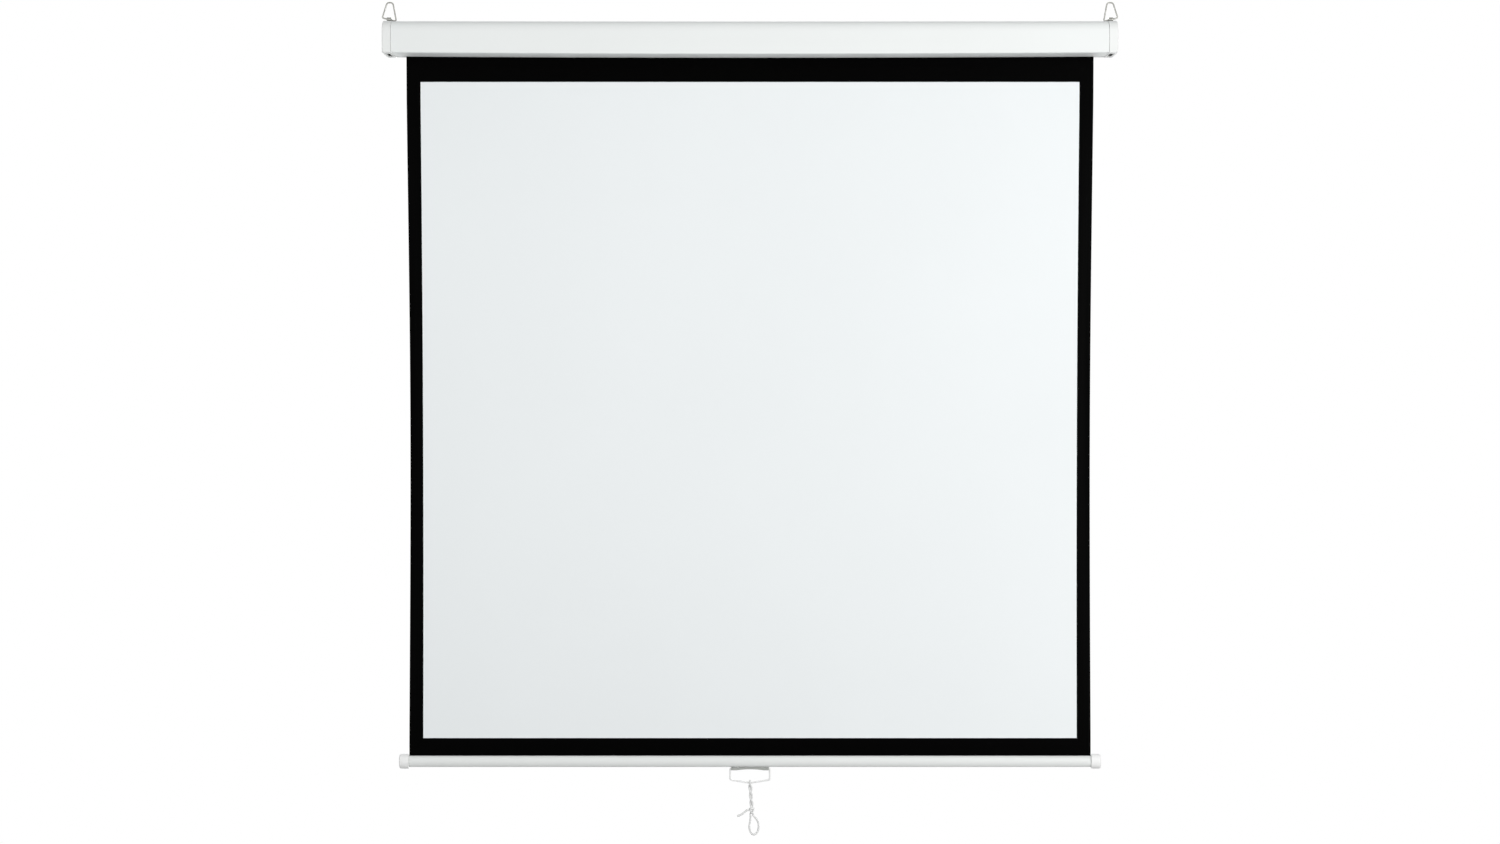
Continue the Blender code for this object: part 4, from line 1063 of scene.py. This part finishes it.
class PULLDOWN_OT_end_caps(bpy.types.Operator):
    """Makes the moulded caps on the ends of the case"""

    bl_idname = "pulldown.end_caps"
    bl_label = "End caps"

    def execute(self, context):
        values = sizes()
        shell_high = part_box("case_shell")[1]
        low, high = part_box("end_cap_right")
        proud = high.y - shell_high.y
        inner, outer = shell_high.x + CAP_GAP, high.x
        radii = (values.case_top_radius + proud, values.case_bottom_radius + proud)
        cap = casing("case_cap_right", inner, outer, low, high, *radii)
        round_edges(cap, at(X, outer), values.cap_rounding, 5)
        remove_faces(cap, at(X, inner))
        wall(cap, values.cap_wall)
        self.open_up(cap, low, high)
        soften(cap, 0.0002, 2, 40)
        finish_pair(
            cap, "case_cap_left", "case", "white_plastic", "Satin white plastic", "end_cap_{}"
        )
        return {"FINISHED"}

    def open_up(self, cap, low, high):
        """The slot for the eye, the recess underneath and the screw holes."""
        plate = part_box("end_bracket_right")[1].x
        ring_low, ring_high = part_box("hanging_ring_right")
        eye = (ring_low.x + ring_high.x) / 2
        slot = block(
            "slot",
            (eye - EYE_HALF_LENGTH, -EYE_HALF_WIDTH, high.z - CUT_DEPTH),
            (eye + EYE_HALF_LENGTH, EYE_HALF_WIDTH, high.z + CUT_PAST),
        )
        recess = block(
            "recess",
            (plate - RECESS_FAR, -RECESS_HALF_DEPTH, low.z - CUT_PAST),
            (plate - RECESS_NEAR, RECESS_HALF_DEPTH, low.z + CUT_DEPTH),
        )
        combine(cap, "DIFFERENCE", slot, recess)
        ends = (high.x - CUT_DEPTH, high.x + CUT_PAST)
        for level in ("lower", "upper"):
            center = middle_of(f"cap_screw_right_{level}")
            hole = round_rod("hole", *ends, center, SCREW_HOLE_RADIUS, 20)
            combine(cap, "DIFFERENCE", hole)


RING_HALF_WIDTH = 0.0135
RING_HEIGHT = 0.0324
RING_SLOPE = radians(14)
RING_TOP_LEFT, RING_TOP_RIGHT = -0.0070, 0.0040
RING_CORNER, RING_SHOULDER = 0.0026, 0.0056


class PULLDOWN_OT_rings(bpy.types.Operator):
    """Makes the two hanging rings of bent wire"""

    bl_idname = "pulldown.rings"
    bl_label = "Hanging rings"

    def execute(self, context):
        radius = sizes().ring_wire
        low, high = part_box("hanging_ring_right")
        middle, top = (low.x + high.x) / 2, high.z - radius
        foot, rise = top - RING_HEIGHT, RING_HALF_WIDTH * tan(RING_SLOPE)
        corners = [
            ((middle - RING_HALF_WIDTH, foot - rise), RING_CORNER),
            ((middle + RING_HALF_WIDTH, foot + rise), RING_CORNER),
            ((middle + RING_TOP_RIGHT, top), RING_SHOULDER),
            ((middle + RING_TOP_LEFT, top), RING_SHOULDER),
        ]
        ring = bent_wire("ring_wire_right", 0.0, corners, radius, closed=True)
        finish_pair(
            ring, "ring_wire_left", "{}_ring", "zinc_plated_steel", "Zinc plate", "hanging_ring_{}"
        )
        return {"FINISHED"}


BAR_SIDES = 64
BAR_SLOT_SHARE = 0.975


class PULLDOWN_OT_weight_bar(bpy.types.Operator):
    """Makes the oval weight bar, slotted along its top, and its end caps"""

    bl_idname = "pulldown.weight_bar"
    bl_label = "Weight bar"

    def execute(self, context):
        low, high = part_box("weight_bar")
        center = (middle_of("weight_bar")[0], middle_of("bar_cap_left")[1])
        halves = ((high.y - low.y) / 2, center[1] - low.z)
        piece = oval_rod("bar_tube", low.x, high.x, center, *halves, BAR_SIDES, "NOTHING")
        top = center[1] + halves[1] * BAR_SLOT_SHARE
        remove_faces(piece, lambda places: all(place.z > top for place in places))
        wall(piece, sizes().bar_wall)
        soften(piece, 0.0002, 2)
        # The bar's paint is the case's white paint, made glossier and darkened as painted shade.
        finish_piece(piece, "lower_bar", "white_painted_steel", "Glossy white paint", "weight_bar")
        cap = self.cap(center)
        plastic = "White moulded plastic"
        finish_pair(cap, "bar_end_left", "lower_bar", "white_plastic", plastic, "bar_cap_{}")
        return {"FINISHED"}

    def cap(self, center):
        low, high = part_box("bar_cap_right")
        halves = ((high.y - low.y) / 2, (high.z - low.z) / 2)
        piece = oval_rod("bar_end_right", low.x, high.x, center, *halves, BAR_SIDES)
        round_edges(piece, at(X, high.x), sizes().bar_cap_rounding, 6)
        remove_faces(piece, at(X, low.x))
        wall(piece, sizes().bar_cap_wall)
        soften(piece, 0.0003, 3)
        return piece


ARCH_HALF_LENGTH = 0.0265
ARCH_RISE = 0.0020
ARCH_STEPS = 6
SINK_RADIUS = 0.0030
SINK_DEPTH = 0.01
SINK_DROP = 0.0072
BORE_START, BORE_END = 0.0297, 0.0400
BORE_ROOM = 0.0003
GRIP_STUB = 0.0085
GRIP_BOW = 0.0060
GRIP_CORNER = 0.004
GRIP_BEND = 0.030
GRIP_TIGHT_BEND = 1.3


class PULLDOWN_OT_handle(bpy.types.Operator):
    """Makes the handle's base and its bowed wire grip"""

    bl_idname = "pulldown.handle"
    bl_label = "Pull handle"

    def execute(self, context):
        self.base()
        self.grip()
        return {"FINISHED"}

    def base(self):
        low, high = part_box("handle_base")
        piece = block("handle_seat", low, high)
        for step in range(-ARCH_STEPS, ARCH_STEPS + 1):
            slice_at(piece, X, ARCH_HALF_LENGTH * step / ARCH_STEPS)
        for vert in piece.data.vertices:
            if near(vert.co.z, low.z) and abs(vert.co.x) < ARCH_HALF_LENGTH + SLACK:
                vert.co.z += ARCH_RISE * (1 - (vert.co.x / ARCH_HALF_LENGTH) ** 2)
        middle = middle_of("handle_base")
        bore_radius = sizes().handle_wire + BORE_ROOM
        for name, side in (("left", -1), ("right", 1)):
            screw_low, screw_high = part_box(f"handle_screw_{name}")
            screw_x = (screw_low.x + screw_high.x) / 2
            rest()
            bpy.ops.mesh.primitive_cylinder_add(
                vertices=24, radius=SINK_RADIUS, depth=SINK_DEPTH,
                location=(screw_x, middle[0], high.z - SINK_DROP),
            )
            combine(piece, "DIFFERENCE", named("sink"))
            ends = (side * BORE_START, side * BORE_END)
            combine(piece, "DIFFERENCE", round_rod("bore", *ends, middle, bore_radius, 20))
        soften(piece, 0.0005, 3)
        # The base's grey finish is painted shade: the white plastic base is darkened for the shade
        # under the bar.
        finish_piece(piece, "lower_bar", "white_plastic", "Grey moulded plastic", "handle_base")

    def grip(self):
        low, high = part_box("pull_handle")
        radius = sizes().handle_wire
        pivot_z = middle_of("handle_base")[1]
        half_width = high.x - radius
        bottom = low.z + radius
        half = [
            ((half_width - GRIP_STUB, pivot_z), 0),
            ((half_width, pivot_z), radius * GRIP_TIGHT_BEND),
            ((half_width, bottom + GRIP_BOW), GRIP_CORNER),
        ]
        left = [((-x, z), bend) for (x, z), bend in half]
        corners = [*left, ((0.0, bottom), GRIP_BEND), *reversed(half)]
        grip = bent_wire("handle_grip", (low.y + high.y) / 2, corners, radius)
        finish_piece(grip, "handle", "white_plastic", "White moulded plastic", "pull_handle")


HEAD_RADIUS = 0.003
HEAD_HEIGHT = 0.0016
HEAD_ROUNDING = 0.0011
SHANK_RADIUS = 0.0015
CROSS_HALF_WIDTH, CROSS_HALF_LENGTH = 0.00032, 0.0016
CROSS_DEPTH = 0.0011


class PULLDOWN_OT_screws(bpy.types.Operator):
    """Makes the pan-head screws with their cross recesses"""

    bl_idname = "pulldown.screws"
    bl_label = "Screws"

    def execute(self, context):
        first = self.screw()
        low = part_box("cap_screw_right_lower")[0]
        for side in ("right", "left"):
            for level in ("upper", "lower"):
                node = f"cap_screw_{side}_{level}"
                piece = first
                if (side, level) != ("right", "lower"):
                    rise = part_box(node)[0].z - low.z
                    piece = twin(first, f"cap_fastener_{side}_{level}", rise, side == "left")
                finish_piece(piece, "case", "zinc_plated_steel", "Zinc plate", node)
        return {"FINISHED"}

    def screw(self):
        low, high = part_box("cap_screw_right_lower")
        center = y, z = middle_of("cap_screw_right_lower")
        outer = high.x
        ends = (outer - HEAD_HEIGHT, outer)
        head = round_rod("cap_fastener_right_lower", *ends, center, HEAD_RADIUS, 32)
        round_edges(head, at(X, outer), HEAD_ROUNDING, 5)
        ends = (low.x, outer - HEAD_HEIGHT / 2)
        combine(head, "UNION", round_rod("shank", *ends, center, SHANK_RADIUS, 16))
        short, long = CROSS_HALF_WIDTH, CROSS_HALF_LENGTH
        for half_y, half_z in ((short, long), (long, short)):
            deep = (outer - CROSS_DEPTH, y - half_y, z - half_z)
            combine(
                head, "DIFFERENCE", block("cross", deep, (outer + 0.001, y + half_y, z + half_z))
            )
        soften(head, 0.0001, 2, 40)
        return head


class PULLDOWN_OT_inner_parts(bpy.types.Operator):
    """Finishes the brackets, the roller and what is inside it"""

    bl_idname = "pulldown.inner_parts"
    bl_label = "Inner parts"

    def execute(self, context):
        finishes = {
            "Zinc plate": (
                "end_bracket_left end_bracket_right handle_screw_left handle_screw_right"
            ),
            "Drawn steel": (
                "spindle ratchet_hub counterbalance_spring spring_anchor roller_tube"
                " hem_rod pawl_pin_upper pawl_pin_lower idle_pin"
            ),
            "Natural nylon": (
                "idle_bush spring_end_plug inner_support idle_end_plug pawl_upper pawl_lower"
            ),
        }
        for finish, names in finishes.items():
            for name in names.split():
                coat(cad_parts[name], finish)
        return {"FINISHED"}


class PULLDOWN_OT_stage(bpy.types.Operator):
    """Lays the floor and sets the even light and the three softboxes"""

    bl_idname = "pulldown.stage"
    bl_label = "Stage"

    def execute(self, context):
        stage = context.scene.pulldown_stage
        context.scene.view_settings.view_transform = "Standard"
        rest()
        reach = stage.floor_reach
        bpy.ops.mesh.primitive_plane_add(size=2 * reach, location=(0, 0, stage.floor_height))
        floor = context.object
        floor.name = "floor"
        floor.data.materials.append(pale_floor(reach))
        self.sky(context, stage)
        self.softbox("key_light", stage.lamp_spread, -stage.lamp_distance, stage.key)
        self.softbox("fill_light", -stage.lamp_spread, -stage.lamp_distance, stage.fill)
        self.softbox("back_light", 0.0, stage.lamp_distance, stage.back)
        return {"FINISHED"}

    def sky(self, context, stage):
        """A soft light, weakest at eye level, that the camera and reflections see as white."""
        world = bpy.data.worlds.new("Even light")
        context.scene.world = world
        world.use_nodes = True
        nodes = Nodes(world.node_tree)
        height = nodes.split(nodes.coordinates("Generated"))["Z"]
        above = nodes.math("MULTIPLY", height, stage.overhead)
        below = nodes.math("MULTIPLY", height, -stage.underneath)
        strength = nodes.math("ADD", nodes.math("MAXIMUM", above, below), stage.sky)
        even = world.node_tree.nodes["Background"]
        nodes.fill(even, Color=(0.97, 0.99, 1.0, 1.0), Strength=strength)
        white = nodes.add("Background", Color=(1, 1, 1, 1), Strength=1.0)
        mix = nodes.add("MixShader", Fac=nodes.seen_rays())
        nodes.feed(mix.inputs[1], even.outputs[0])
        nodes.feed(mix.inputs[2], white.outputs[0])
        nodes.fill(world.node_tree.nodes["World Output"], Surface=mix.outputs[0])

    def softbox(self, name, x, y, power):
        """An area light that faces the screen's middle line."""
        stage = bpy.context.scene.pulldown_stage
        rest()
        turn = Vector((-x, -y, 0)).to_track_quat("-Z", "Y").to_euler()
        place = (x, y, stage.lamp_height)
        bpy.ops.object.light_add(type="AREA", location=place, rotation=turn)
        light = bpy.context.object
        light.name = name
        light.data.shape = "RECTANGLE"
        light.data.size, light.data.size_y = stage.lamp_width, stage.lamp_tall
        light.data.energy = power


class PULLDOWN_PT_panel(bpy.types.Panel):
    """Lists the pieces and their sizes"""

    bl_idname = "PULLDOWN_PT_panel"
    bl_label = "Pull-down screen"
    bl_space_type = "VIEW_3D"
    bl_region_type = "UI"
    bl_category = "Screen"

    def draw(self, context):
        for operator in OPERATORS:
            self.layout.operator(operator.bl_idname)
        for group in GROUPS:
            values = getattr(context.scene, group)
            box = self.layout.box()
            for key in values.__annotations__:
                box.prop(values, key)


OPERATORS = (
    PULLDOWN_OT_camera,
    PULLDOWN_OT_cord,
    PULLDOWN_OT_sheet,
    PULLDOWN_OT_case,
    PULLDOWN_OT_end_caps,
    PULLDOWN_OT_rings,
    PULLDOWN_OT_weight_bar,
    PULLDOWN_OT_handle,
    PULLDOWN_OT_screws,
    PULLDOWN_OT_inner_parts,
    PULLDOWN_OT_stage,
)
GROUPS = {
    "pulldown_sizes": PULLDOWN_PG_sizes,
    "pulldown_colours": PULLDOWN_PG_colours,
    "pulldown_stage": PULLDOWN_PG_stage,
}
CLASSES = (*GROUPS.values(), *OPERATORS, PULLDOWN_PT_panel)


def register():
    for made in CLASSES:
        bpy.utils.register_class(made)
    for name, group in GROUPS.items():
        setattr(bpy.types.Scene, name, PointerProperty(type=group))


def unregister():
    for name in GROUPS:
        delattr(bpy.types.Scene, name)
    for made in reversed(CLASSES):
        bpy.utils.unregister_class(made)


def main():
    register()
    for operator in OPERATORS:
        group, name = operator.bl_idname.split(".")
        getattr(getattr(bpy.ops, group), name)()
    rest()


if __name__ == "__main__":
    main()
